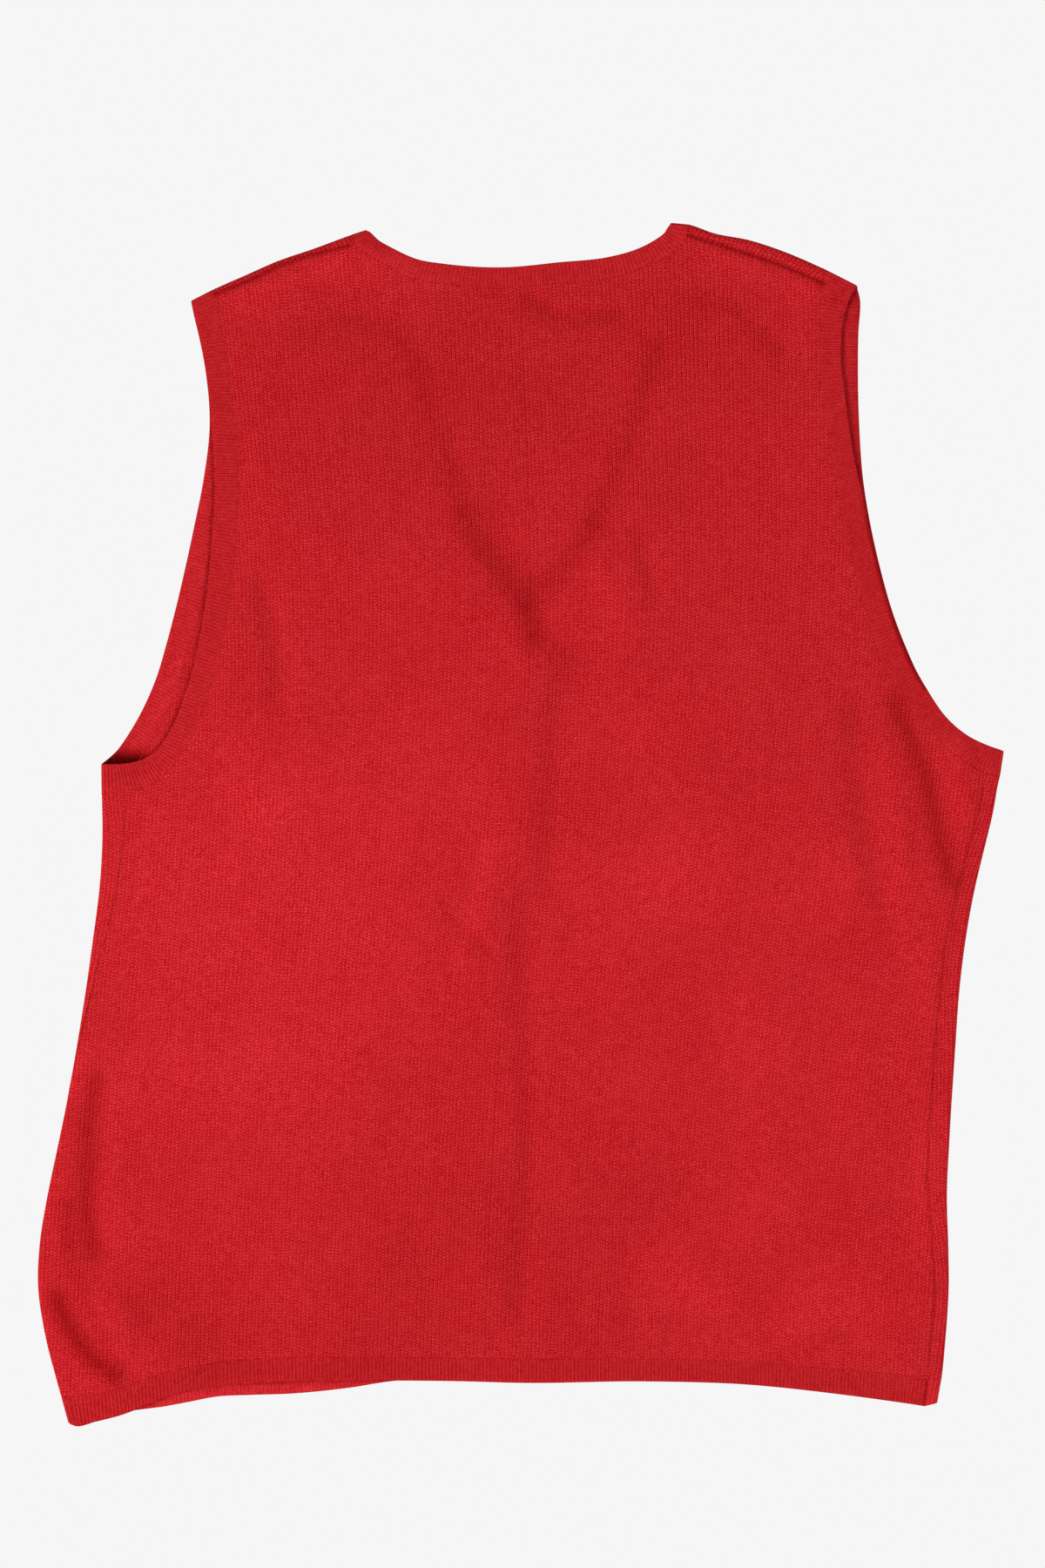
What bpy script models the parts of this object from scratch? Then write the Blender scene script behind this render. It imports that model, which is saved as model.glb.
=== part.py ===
"""Knitted V-neck sweater vest lying flat with its back side up.

Every piece is a cloth wall laid in a flattened tube.  The bottom layer (the
front) lies on z = 0, the top layer (the back) lies over it, and the two join
round half-circle folds along the sides and the shoulders.  A point of cloth is
its plan position plus the angle it has travelled round a fold: 0 on the bottom
layer, pi on the top layer.  Panels are cut as flat patterns and then folded;
the rib bands are strips with a free edge and a seam edge.

Plan axes: +X to the right, +Y towards the shoulders, +Z up.  The origin is the
centre of the bounding box on the resting plane.
"""
import math

import bpy
import bmesh
import numpy as np
from mathutils.geometry import delaunay_2d_cdt

# ------------------------------------------------------------------ sizes, mm
MM = 0.001
CENTRE_X = -0.27
CENTRE_Y = -0.38
WALL = 1.6
FOLD_RADIUS = 1.9
FOLD_CENTRE = WALL / 2 + FOLD_RADIUS
SEAM_GAP = 0.3
RIB_PITCH = 2.2
RIB_VALLEY = 0.6
RIB_CREST = 1.2
STATION = 8.8
SEAM_STATION = 11.0
BACK_MESH = 20.5
FRONT_MESH = 34.0
LAYER_FLOOR = 2.8
BAND_FLOOR = 3.4
OPEN_FLOOR = 1.7
SPLINE_STEPS = 24
HALF_TURN = math.pi
LOOP_RED = (0.552, 0.0176, 0.0232, 1.0)

# Rib bands: free edge x, free edge y, seam edge x, seam edge y.
ARM_LEFT_BACK = (
    (-197.3, 312.3, -182.5, 319.8),
    (-195.5, 303.4, -180.7, 308.6),
    (-192.1, 288.9, -177.6, 291.5),
    (-188.5, 270.7, -174.7, 272.2),
    (-186.2, 252.5, -171.9, 251.4),
    (-184.3, 226.5, -169.3, 225.4),
    (-183.3, 200.5, -168.2, 200.5),
    (-184.3, 179.7, -169.8, 177.6),
    (-188.0, 138.1, -173.7, 134.9),
    (-191.1, 117.3, -177.6, 112.1),
    (-195.8, 93.9, -182.8, 90.2),
    (-201.5, 75.7, -188.5, 71.5),
    (-208.3, 58.5, -195.8, 53.8),
    (-216.6, 45.5, -205.1, 38.7),
    (-227.0, 38.2, -218.7, 24.2),
    (-238.4, 35.9, -234.3, 20.0),
    (-250.9, 35.6, -250.4, 17.9),
)
ARM_LEFT_FRONT = (
    (-197.3, 312.3, -182.5, 319.8),
    (-192.7, 291.5, -179.1, 295.1),
    (-188.5, 268.1, -175.0, 270.7),
    (-186.4, 239.5, -172.4, 238.9),
    (-190.1, 205.7, -176.0, 202.5),
    (-195.8, 177.1, -182.3, 172.9),
    (-202.0, 148.5, -188.5, 144.3),
    (-207.2, 126.6, -193.7, 121.9),
    (-212.4, 106.9, -199.4, 101.7),
    (-218.7, 86.1, -206.2, 79.8),
    (-227.5, 66.3, -215.5, 59.0),
    (-237.4, 49.7, -227.0, 40.3),
    (-244.0, 41.5, -240.0, 22.0),
    (-250.9, 35.6, -250.4, 17.9),
)
ARM_RIGHT_BACK = (
    (200.7, 321.4, 180.2, 331.8),
    (195.8, 312.3, 179.1, 315.9),
    (192.1, 298.2, 177.6, 299.3),
    (191.1, 281.1, 177.3, 281.1),
    (193.7, 255.1, 179.7, 252.5),
    (196.3, 234.3, 182.8, 230.6),
    (200.5, 210.9, 186.9, 206.7),
    (205.7, 190.1, 191.4, 181.7),
    (210.6, 168.2, 196.8, 158.9),
    (216.6, 143.3, 202.5, 136.5),
    (224.4, 118.3, 208.8, 113.6),
    (232.2, 99.1, 217.6, 90.2),
    (242.1, 80.9, 229.6, 74.6),
    (253.5, 64.2, 241.5, 59.5),
    (266.5, 52.8, 255.1, 43.9),
    (279.5, 46.5, 270.7, 33.5),
    (288.4, 43.4, 285.5, 27.3),
)
ARM_RIGHT_FRONT = (
    (200.7, 321.4, 180.2, 331.8),
    (202.8, 312.3, 183.3, 314.9),
    (201.8, 294.1, 186.4, 295.1),
    (201.5, 268.1, 186.9, 268.1),
    (202.3, 236.9, 188.0, 235.8),
    (204.6, 205.7, 190.6, 203.1),
    (209.0, 178.6, 194.7, 173.4),
    (215.5, 150.0, 201.5, 144.3),
    (221.8, 127.7, 208.3, 120.9),
    (229.6, 106.9, 216.1, 98.5),
    (240.5, 83.5, 228.0, 75.7),
    (253.0, 64.2, 241.0, 58.0),
    (266.0, 52.8, 254.5, 43.4),
    (279.0, 46.5, 270.1, 33.5),
    (288.4, 43.4, 285.5, 27.3),
)
HEM_BACK = (
    (-270.9, -357.5, -275.1, -341.9),
    (-266.0, -359.8, -267.5, -341.9),
    (-254.0, -357.2, -255.1, -340.6),
    (-238.9, -353.3, -240.5, -337.0),
    (-225.4, -348.1, -226.5, -332.3),
    (-209.8, -341.6, -210.9, -327.3),
    (-195.3, -338.3, -195.8, -324.0),
    (-173.9, -335.4, -174.5, -320.8),
    (-147.4, -333.6, -147.9, -319.0),
    (-103.2, -332.8, -103.2, -318.5),
    (-36.7, -333.1, -36.7, -319.0),
    (0.8, -334.1, 0.8, -319.5),
    (73.6, -333.2, 73.6, -319.5),
    (134.9, -335.1, 134.9, -321.4),
    (185.4, -340.3, 186.4, -325.5),
    (224.4, -345.5, 225.4, -328.9),
    (240.8, -347.9, 243.1, -332.0),
)
HEM_FRONT = (
    (-270.9, -357.5, -275.1, -341.9),
    (-259.2, -355.2, -261.3, -340.3),
    (-243.6, -352.8, -245.7, -338.3),
    (-228.0, -350.5, -229.1, -335.9),
    (-214.0, -348.7, -215.0, -334.1),
    (-199.9, -346.1, -201.0, -331.5),
    (-181.7, -342.7, -182.3, -328.1),
    (-163.0, -341.8, -163.5, -327.3),
    (-137.0, -340.9, -137.5, -326.3),
    (-101.1, -337.2, -102.2, -322.7),
    (-78.3, -333.6, -78.8, -319.0),
    (-51.2, -331.8, -51.2, -317.5),
    (0.8, -332.3, 0.8, -318.0),
    (84.0, -331.5, 84.0, -317.5),
    (141.2, -334.1, 141.2, -320.1),
    (185.4, -339.3, 185.9, -324.7),
    (224.4, -344.2, 225.4, -329.4),
    (248.8, -345.8, 251.1, -332.8),
)
HEM_FRONT_WRAP = (
    (248.8, -345.8, 251.1, -332.8),
    (245.0, -346.9, 247.2, -332.4),
    (240.8, -347.9, 243.1, -332.0),
)
NECK_BACK = (
    (-93.3, 354.4, -102.2, 351.5),
    (-90.2, 353.1, -98.5, 345.5),
    (-85.5, 348.7, -92.3, 339.8),
    (-77.2, 344.0, -81.9, 334.6),
    (-61.6, 337.2, -66.3, 325.8),
    (-46.0, 334.6, -48.6, 322.7),
    (-10.7, 332.5, -11.2, 320.8),
    (21.6, 335.4, 22.6, 322.7),
    (52.8, 338.8, 54.9, 326.3),
    (67.3, 342.7, 71.5, 332.0),
    (77.7, 347.4, 84.5, 337.2),
    (85.5, 352.8, 94.9, 344.0),
    (87.9, 356.5, 99.1, 351.3),
    (89.7, 358.8, 100.6, 357.8),
)
NECK_FRONT_LEFT = (
    (-93.3, 354.4, -102.2, 351.5),
    (-90.7, 348.7, -100.6, 345.0),
    (-83.5, 329.4, -93.9, 326.3),
    (-74.1, 303.4, -85.0, 299.3),
    (-62.7, 270.7, -73.6, 266.5),
    (-51.2, 236.9, -62.1, 233.2),
    (-37.7, 200.5, -48.6, 195.8),
    (-20.0, 161.5, -29.9, 155.2),
    (7.5, 116.2, 8.1, 98.5),
)
NECK_FRONT_RIGHT = (
    (89.7, 358.8, 100.6, 357.8),
    (90.0, 346.1, 101.1, 345.5),
    (89.2, 330.5, 100.6, 329.4),
    (85.5, 301.9, 96.5, 299.8),
    (77.7, 267.0, 88.7, 263.9),
    (66.8, 231.7, 77.7, 227.5),
    (52.8, 195.3, 63.2, 190.1),
    (34.1, 158.3, 43.9, 152.1),
    (7.5, 116.2, 8.1, 98.5),
)

# Where the bottom layer's bands stand clear of the back: least x, greatest x, least y.
RIBS_SHOWN = {
    "armhole_left": (-300.0, 0.0, 0.0),
    "armhole_right": (0.0, 300.0, 140.0),
    "neck": (0.0, 0.0, 0.0),
    "hem_back": (0.0, 0.0, 0.0),
    "hem_front": (-262.0, -40.0, -400.0),
}

# Fold lines along the outline: x, y.  Listed so that the cloth lies to the left.
FOLD_SIDE_LEFT = (
    (-250.9, 35.6),
    (-250.7, 17.9),
    (-250.3, -4.9),
    (-251.9, -36.1),
    (-256.1, -69.9),
    (-260.5, -101.1),
    (-265.5, -132.3),
    (-271.0, -163.5),
    (-277.4, -194.7),
    (-283.9, -225.9),
    (-287.9, -251.9),
    (-288.9, -275.3),
    (-285.2, -302.4),
    (-275.1, -341.9),
    (-270.9, -357.5),
)
FOLD_SIDE_RIGHT = (
    (248.8, -345.8),
    (251.1, -332.8),
    (253.5, -309.1),
    (255.6, -275.3),
    (255.3, -251.9),
    (254.5, -223.3),
    (256.1, -186.9),
    (259.6, -132.3),
    (261.8, -101.1),
    (265.6, -69.9),
    (271.2, -38.7),
    (277.4, -12.7),
    (281.8, 5.5),
    (285.5, 25.7),
    (287.4, 33.0),
    (288.4, 43.4),
)
FOLD_SHOULDER_LEFT = (
    (-93.3, 354.4),
    (-102.2, 351.5),
    (-124.0, 343.5),
    (-144.8, 336.4),
    (-165.6, 327.3),
    (-182.5, 319.8),
    (-197.3, 312.3),
)
FOLD_SHOULDER_RIGHT = (
    (200.7, 321.4),
    (180.2, 331.8),
    (156.8, 341.9),
    (136.0, 348.7),
    (115.2, 352.8),
    (100.6, 357.8),
    (89.7, 358.8),
)

# Side seams: y, arc from the left fold to its seam, arc from the right fold.
# A negative arc lies under the fold.
SIDE_SEAMS = (
    (27.0, 14.0, 9.0),
    (2.0, 13.6, 9.7),
    (-28.0, 11.4, 10.1),
    (-60.0, 8.8, 11.5),
    (-90.0, 4.6, 12.1),
    (-122.0, 2.6, 12.6),
    (-153.0, 0.6, 13.1),
    (-184.0, -1.4, 13.1),
    (-216.0, -2.4, 13.0),
    (-240.0, -2.6, 10.5),
    (-275.0, -2.4, 9.3),
    (-312.0, -1.2, 9.4),
    (-342.0, 0.0, 9.2),
)
# Shoulder seams on the back: fraction from armhole to neck, distance from fold.
SHOULDER_LEFT_SEAM = ((0.0, 4.2), (0.3, 4.0), (0.6, 4.1), (0.85, 4.6), (1.0, 6.2))
SHOULDER_RIGHT_SEAM = ((0.0, 8.4), (0.2, 9.0), (0.5, 8.2), (0.8, 7.0), (1.0, 6.8))

# Creases of the back: start x, y, middle x, y, end x, y, half width, height.
CREASES = (
    ("neck_v_left", -69.0, 289.0, -41.0, 200.0, 7.0, 113.0, 12.0, -1.5),
    ("neck_v_right", 87.0, 289.0, 60.0, 203.0, 12.0, 133.0, 13.0, -1.1),
    ("centre_upper", 7.0, 107.0, 22.0, 50.0, -3.0, -60.0, 9.0, -1.3),
    ("centre_lower", -3.0, -60.0, 0.0, -158.0, -7.0, -288.0, 9.0, -0.9),
    ("centre_ridge", -24.0, 0.0, -29.0, -45.0, -28.0, -95.0, 11.0, 0.8),
    ("underarm_deep", 224.0, 76.0, 233.0, 34.0, 256.0, -28.0, 7.0, -1.7),
    ("underarm_soft", 201.0, 81.0, 200.0, 34.0, 217.0, -70.0, 8.0, -1.1),
    ("underarm_ridge", 212.0, 70.0, 218.0, 24.0, 235.0, -34.0, 8.0, 0.7),
    ("corner_upper", -260.0, -174.0, -264.0, -221.0, -257.0, -257.0, 7.5, -1.4),
    ("corner_lower", -275.0, -282.0, -259.0, -312.0, -234.0, -331.0, 7.0, -1.7),
    ("corner_ridge", -268.0, -262.0, -253.0, -288.0, -225.0, -318.0, 8.0, 1.0),
    ("left_middle", -159.0, 138.0, -150.0, 91.0, -138.0, 45.0, 8.0, -0.8),
    ("right_middle", 64.0, 180.0, 73.0, 159.0, 76.0, 133.0, 7.0, -0.8),
    ("yoke_left", -124.0, 309.0, -98.0, 297.0, -72.0, 285.0, 8.0, -0.8),
    ("yoke_right", 105.0, 309.0, 131.0, 298.0, 159.0, 281.0, 8.0, -0.8),
)


# ------------------------------------------------------------------- curves
def smooth_rows(rows):
    """Cubic through the rows, tangents averaged from the neighbouring chords."""
    p = np.array(rows, dtype=float)
    if p.shape[1] == 4:
        mid = (p[:, :2] + p[:, 2:]) / 2
    else:
        mid = p[:, :2]
    h = np.linalg.norm(np.diff(mid, axis=0), axis=1)
    slope = np.diff(p, axis=0) / h[:, None]
    tangent = np.vstack((slope[:1], slope[:1], slope[-1:]))
    if len(p) > 2:
        a = h[:-1, None]
        b = h[1:, None]
        inner = (slope[:-1] * b + slope[1:] * a) / (a + b)
        tangent = np.vstack((slope[:1], inner, slope[-1:]))
    t = np.linspace(0, 1, SPLINE_STEPS, endpoint=False)[:, None]
    pieces = []
    for i in range(len(p) - 1):
        c0 = (1 + 2 * t) * (1 - t) ** 2
        c1 = t * (1 - t) ** 2 * h[i]
        c2 = t ** 2 * (3 - 2 * t)
        c3 = t ** 2 * (t - 1) * h[i]
        pieces.append(c0 * p[i] + c1 * tangent[i] + c2 * p[i + 1] + c3 * tangent[i + 1])
    pieces.append(p[-1:])
    return np.vstack(pieces)


def lengths(points):
    """Running length along a polyline."""
    step = np.linalg.norm(np.diff(points, axis=0), axis=1)
    return np.concatenate(([0.0], np.cumsum(step)))


def at_length(points, wanted):
    """Points of a polyline at the wanted running lengths."""
    run = lengths(points)
    return np.column_stack([np.interp(wanted, run, points[:, k]) for k in range(points.shape[1])])


def smoothstep(x):
    """Smooth 0 to 1 ramp."""
    c = np.clip(x, 0.0, 1.0)
    return c * c * (3 - 2 * c)


def polyline_distance(q, line):
    """Distance from each point to a polyline."""
    a = line[:-1]
    ab = line[1:] - a
    rel = q[:, None, :] - a[None]
    t = np.clip((rel * ab).sum(2) / (ab * ab).sum(1), 0, 1)
    return np.linalg.norm(rel - t[..., None] * ab, axis=2).min(1)


class Fold:
    """A fold line: its apex curve, and the distance of cloth inside it."""

    def __init__(self, rows):
        line = at_length(smooth_rows(rows), np.linspace(0, lengths(smooth_rows(rows))[-1], 120))
        along = np.gradient(line, axis=0)
        along /= np.linalg.norm(along, axis=1)[:, None]
        inward = np.column_stack((-along[:, 1], along[:, 0]))
        self.line = line + inward * WALL / 2

    def project(self, q):
        """Signed distance inside the apex line, foot on it, outward direction."""
        a = self.line[:-1]
        ab = self.line[1:] - a
        rel = q[:, None, :] - a[None]
        t = (rel * ab).sum(2) / (ab * ab).sum(1)
        t[:, 1:] = np.maximum(t[:, 1:], 0)
        t[:, :-1] = np.minimum(t[:, :-1], 1)
        foot = a + t[..., None] * ab
        gap = np.linalg.norm(q[:, None, :] - foot, axis=2)
        best = gap.argmin(1)
        pick = np.arange(len(q))
        direction = ab[best] / np.linalg.norm(ab[best], axis=1)[:, None]
        inward = np.column_stack((-direction[:, 1], direction[:, 0]))
        foot = foot[pick, best]
        signed = ((q - foot) * inward).sum(1)
        return signed, foot, -inward


FOLDS = [Fold(r) for r in (FOLD_SIDE_LEFT, FOLD_SIDE_RIGHT, FOLD_SHOULDER_LEFT, FOLD_SHOULDER_RIGHT)]
SIDE_LEFT, SIDE_RIGHT, SHOULDER_LEFT, SHOULDER_RIGHT = FOLDS
ARM_EDGES = [smooth_rows(t)[:, :2] for t in (ARM_LEFT_BACK, ARM_RIGHT_BACK)]
HEM_EDGE = smooth_rows(HEM_BACK)[:, :2]
NECK_EDGE = smooth_rows(NECK_BACK)[:, :2]
V_EDGE = np.vstack((smooth_rows(NECK_FRONT_LEFT)[:, :2], smooth_rows(NECK_FRONT_RIGHT)[-2::-1, :2]))


# ------------------------------------------------------------ layer heights
def fold_distance(q):
    """Smallest distance from a point of cloth to a fold's apex line."""
    return np.min([np.abs(f.project(q)[0]) for f in FOLDS], axis=0)


def nearest_fold(q):
    """Projection of points on whichever fold is nearest."""
    stack = [f.project(q) for f in FOLDS]
    near = np.argmin([np.abs(s[0]) for s in stack], axis=0)
    pick = np.arange(len(q))
    return (
        np.stack([s[0] for s in stack])[near, pick],
        np.stack([s[1] for s in stack])[near, pick],
        np.stack([s[2] for s in stack])[near, pick],
    )


def crease_height(q):
    """Sum of the creases, each a soft bell across its own curved line."""
    total = np.zeros(len(q))
    for _, x0, y0, x1, y1, x2, y2, half, height in CREASES:
        line = at_length(smooth_rows(((x0, y0), (x1, y1), (x2, y2))), np.linspace(0, 1, 25)
                         * lengths(smooth_rows(((x0, y0), (x1, y1), (x2, y2))))[-1])
        total += height * np.exp(-(polyline_distance(q, line) / half) ** 2)
    return total


def inside_v(q):
    """1 well inside the V opening of the front, 0 outside it."""
    a = V_EDGE
    b = np.roll(V_EDGE, -1, axis=0)
    x = q[:, 0, None]
    y = q[:, 1, None]
    crosses = (a[:, 1] > y) != (b[:, 1] > y)
    span = np.where(b[:, 1] == a[:, 1], 1.0, b[:, 1] - a[:, 1])
    hit = x < (b[:, 0] - a[:, 0]) * (y - a[:, 1]) / span + a[:, 0]
    inside = (crosses & hit).sum(1) % 2 == 1
    return np.where(inside, smoothstep(polyline_distance(q, V_EDGE) / 25.0), 0.0)


def top_height(q):
    """Height of the middle of the top layer: fold bead, creases, dropped edges."""
    d = fold_distance(q)
    lean = np.clip(d / FOLD_RADIUS, 0, 1)
    z = FOLD_CENTRE + FOLD_RADIUS * np.sqrt(1 - (1 - lean) ** 2)
    away = smoothstep((d - FOLD_RADIUS) / 14.0)
    edge = np.min([polyline_distance(q, e) for e in ARM_EDGES + [HEM_EDGE, NECK_EDGE]], axis=0)
    drop = 1.1 * (1 - smoothstep(edge / 30.0))
    opening = inside_v(q)
    change = crease_height(q) - drop - 0.9 * opening
    floor = LAYER_FLOOR + (BAND_FLOOR - LAYER_FLOOR) * (1 - smoothstep((edge - 16.0) / 8.0))
    floor = floor + (OPEN_FLOOR - floor) * opening
    room = z - floor
    soft = np.where(change < 0, -room * np.tanh(-change / np.maximum(room, 0.1)), change)
    return z + away * soft


def place(xy, phi):
    """Points in space of cloth at plan position xy, turned phi round its fold."""
    z = np.where(phi <= 0, WALL / 2, FOLD_CENTRE - FOLD_RADIUS * np.cos(phi))
    top = phi >= HALF_TURN - 1e-9
    if top.any():
        z[top] = top_height(xy[top])
    return np.column_stack((xy, z))


def outward(xy, phi):
    """Direction out of the garment, square to the middle of the cloth."""
    normal = np.zeros((len(xy), 3))
    normal[:, 2] = -np.cos(phi)
    on_fold = (phi > 0) & (phi < HALF_TURN - 1e-9)
    if on_fold.any():
        way = nearest_fold(xy[on_fold])[2]
        normal[on_fold, :2] = way * np.sin(phi[on_fold])[:, None]
    top = phi >= HALF_TURN - 1e-9
    if top.any():
        for axis in (0, 1):
            step = np.zeros(2)
            step[axis] = 0.5
            rise = top_height(xy[top] + step) - top_height(xy[top] - step)
            normal[top, axis] = -rise
    return normal / np.linalg.norm(normal, axis=1)[:, None]


# -------------------------------------------------------- folding flat cloth
def from_arc(foot, away, arc, top):
    """Plan position and turn of cloth at an arc past the inner line of a fold."""
    turn = np.clip(arc / FOLD_RADIUS, 0, HALF_TURN)
    d = FOLD_RADIUS * (1 - np.sin(turn)) + np.maximum(arc - HALF_TURN * FOLD_RADIUS, 0)
    phi = HALF_TURN - turn if top else turn
    return foot - away * d[:, None], phi


def fold_pattern(q, top):
    """Fold a flat pattern that lies on the top or on the bottom layer."""
    xy = q.copy()
    phi = np.full(len(q), HALF_TURN if top else 0.0)
    for fold in FOLDS:
        signed, foot, away = fold.project(q)
        over = signed < FOLD_RADIUS
        if over.any():
            part = from_arc(foot[over], away[over], FOLD_RADIUS - signed[over], top)
            xy[over] = part[0]
            phi[over] = part[1]
    return xy, phi


def unfold(xy, phi, top):
    """Flat pattern position of folded cloth; the inverse of fold_pattern."""
    q = xy.copy()
    home = HALF_TURN if top else 0.0
    move = np.abs(phi - home) > 1e-9
    if not move.any():
        return q
    signed, foot, away = nearest_fold(xy[move])
    turn = np.abs(phi[move] - home)
    flat_far = np.where(turn >= HALF_TURN - 1e-9, np.maximum(signed - FOLD_RADIUS, 0), 0)
    arc = FOLD_RADIUS * turn + flat_far
    q[move] = foot + away * (arc - FOLD_RADIUS)[:, None]
    return q


# ---------------------------------------------------------------- band strips
def crossing(line, wanted):
    """Running length at which a line first gets this far inside the folds."""
    d = nearest_fold(line)[0]
    first = int(np.argmax(d >= wanted))
    run = lengths(line)
    if first == 0:
        return 0.0
    share = (wanted - d[first - 1]) / max(d[first] - d[first - 1], 1e-9)
    return run[first - 1] + share * (run[first] - run[first - 1])


def fold_end(rows, top):
    """Stations of a strip from a fold's apex to its inner line, apex first."""
    edges = (rows[:, :2], rows[:, 2:])
    stations = []
    for turn in (HALF_TURN / 2, HALF_TURN * 0.75, HALF_TURN):
        d = FOLD_RADIUS * (1 - math.sin(turn))
        row = [at_length(e, [crossing(e, d)])[0] for e in edges]
        stations.append(np.concatenate(row + [[turn if top else HALF_TURN - turn]]))
    return np.array(stations)


def strip_run(table, top, folds, joins=(0.0, 0.0)):
    """Stations of one run of a band: edge x, y, seam x, y and turn.

    folds says which ends reach a fold; joins gives the distance from each end
    at which another seam meets this one, so that a station stands there.
    """
    rows = smooth_rows(table)
    middle = (rows[:, :2] + rows[:, 2:]) / 2
    total = lengths(middle)[-1]
    run = lengths(middle)
    start = FOLD_RADIUS if folds[0] else 0.0
    stop = total - (FOLD_RADIUS if folds[1] else 0.0)
    marks = [start]
    if joins[0]:
        marks.append(joins[0])
    if joins[1]:
        marks.append(total - joins[1])
    marks.append(stop)
    wanted = []
    for a, b in zip(marks[:-1], marks[1:]):
        count = max(1, math.ceil((b - a) / STATION - 0.1))
        wanted.extend(np.linspace(a, b, count, endpoint=False))
    wanted.append(stop)
    wanted = np.array(wanted)
    body = np.column_stack([np.interp(wanted, run, rows[:, k]) for k in range(4)])
    body = np.column_stack((body, np.full(len(body), HALF_TURN if top else 0.0)))
    if folds[0]:
        body = np.vstack((fold_end(rows, top), body[1:]))
    if folds[1]:
        body = np.vstack((body[:-1], fold_end(rows[::-1], top)[::-1]))
    return body


def join_runs(first, second):
    """Two runs end to end, the shared station kept once."""
    return np.vstack((first, second[1:]))


def zip_faces(upper, lower):
    """Triangles between two index runs that share both end positions."""
    faces = []
    i = 0
    j = 0
    while i < len(upper) - 1 or j < len(lower) - 1:
        ahead = (i + 0.5) / (len(upper) - 1)
        behind = (j + 0.5) / (len(lower) - 1)
        if j == len(lower) - 1 or (i < len(upper) - 1 and ahead <= behind):
            faces.append((upper[i], upper[i + 1], lower[j]))
            i += 1
        else:
            faces.append((upper[i], lower[j + 1], lower[j]))
            j += 1
    return faces


def strip_solid(name, stations, closed, shown):
    """A band wall: ribs outside on the top layer, inside on the bottom layer.

    shown is the least x, greatest x and least y of the bottom layer's ribs.
    """
    edge_xy = stations[:, :2]
    across = stations[:, 2:4] - edge_xy
    width = np.linalg.norm(across, axis=1)[:, None]
    seam_xy = stations[:, 2:4] - across / width * SEAM_GAP * 0.6
    phi = stations[:, 4]
    edge = place(edge_xy, phi)
    seam = place(seam_xy, phi)
    normal = {"e": outward(edge_xy, phi), "s": outward(seam_xy, phi)}
    count = len(stations)
    spans = count if closed else count - 1
    verts = []
    rings = {"oe": [], "os": [], "ie": [], "is": []}
    parity = 0
    for k in range(spans):
        n = (k + 1) % count
        top = min(phi[k], phi[n]) >= HALF_TURN / 2 - 0.2
        low = max(phi[k], phi[n]) < 0.1
        low = low and shown[0] < edge_xy[k, 0] < shown[1] and edge_xy[k, 1] > shown[2]
        size = np.linalg.norm((edge[n] + seam[n] - edge[k] - seam[k]) / 2)
        turning = abs(phi[n] - phi[k]) > 0.01
        halves = 1 if turning else 2 * min(4, max(1, round(size / RIB_PITCH)))
        outer = halves if top else 1
        inner = halves if low else 1
        for side, steps in (("o", outer), ("i", inner)):
            raised = top if side == "o" else low
            for tag, line in (("e", edge), ("s", seam)):
                ids = []
                for s in range(steps):
                    share = s / steps
                    crest = (parity + s) % 2 == 1
                    lift = WALL / 2
                    if raised:
                        lift = RIB_CREST if crest else RIB_VALLEY
                    point = line[k] * (1 - share) + line[n] * share
                    way = normal[tag][k] * (1 - share) + normal[tag][n] * share
                    way = way / np.linalg.norm(way)
                    verts.append(point + way * (lift if side == "o" else -lift))
                    ids.append(len(verts) - 1)
                rings[side + tag].append(ids)
        parity = (parity + halves) % 2
    if not closed:
        for tag, line, sign in (("oe", edge, 1), ("os", seam, 1), ("ie", edge, -1), ("is", seam, -1)):
            verts.append(line[-1] + normal[tag[1]][-1] * sign * WALL / 2)
            rings[tag].append([len(verts) - 1])
    faces = []
    for k in range(spans):
        n = (k + 1) % len(rings["oe"])
        run = {tag: rings[tag][k] + rings[tag][n][:1] for tag in rings}
        faces.extend(zip_faces(run["oe"], run["os"]))
        faces.extend(zip_faces(run["ie"], run["is"]))
        faces.extend(zip_faces(run["oe"], run["ie"]))
        faces.extend(zip_faces(run["os"], run["is"]))
    if not closed:
        for k in (0, -1):
            a, b, c, d = (rings[tag][k][0] for tag in ("oe", "os", "is", "ie"))
            faces.append((a, b, c, d))
    return add_part(name, np.array(verts), faces)


# -------------------------------------------------------------------- panels
def inset_loop(loop, amount):
    """Move a closed anticlockwise loop inwards by the same amount all round."""
    before = loop - np.roll(loop, 1, axis=0)
    after = np.roll(loop, -1, axis=0) - loop
    before = before / np.linalg.norm(before, axis=1)[:, None]
    after = after / np.linalg.norm(after, axis=1)[:, None]
    n0 = np.column_stack((-before[:, 1], before[:, 0]))
    n1 = np.column_stack((-after[:, 1], after[:, 0]))
    miter = n0 + n1
    scale = amount / np.maximum((miter * n0).sum(1), 0.5)
    return loop + miter * scale[:, None]


def inside_loop(q, loop):
    """Which points lie inside a closed loop."""
    nxt = np.roll(loop, -1, axis=0)
    x = q[:, 0, None]
    y = q[:, 1, None]
    crosses = (loop[:, 1] > y) != (nxt[:, 1] > y)
    span = np.where(nxt[:, 1] == loop[:, 1], 1.0, nxt[:, 1] - loop[:, 1])
    hit = x < (nxt[:, 0] - loop[:, 0]) * (y - loop[:, 1]) / span + loop[:, 0]
    return (crosses & hit).sum(1) % 2 == 1


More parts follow.
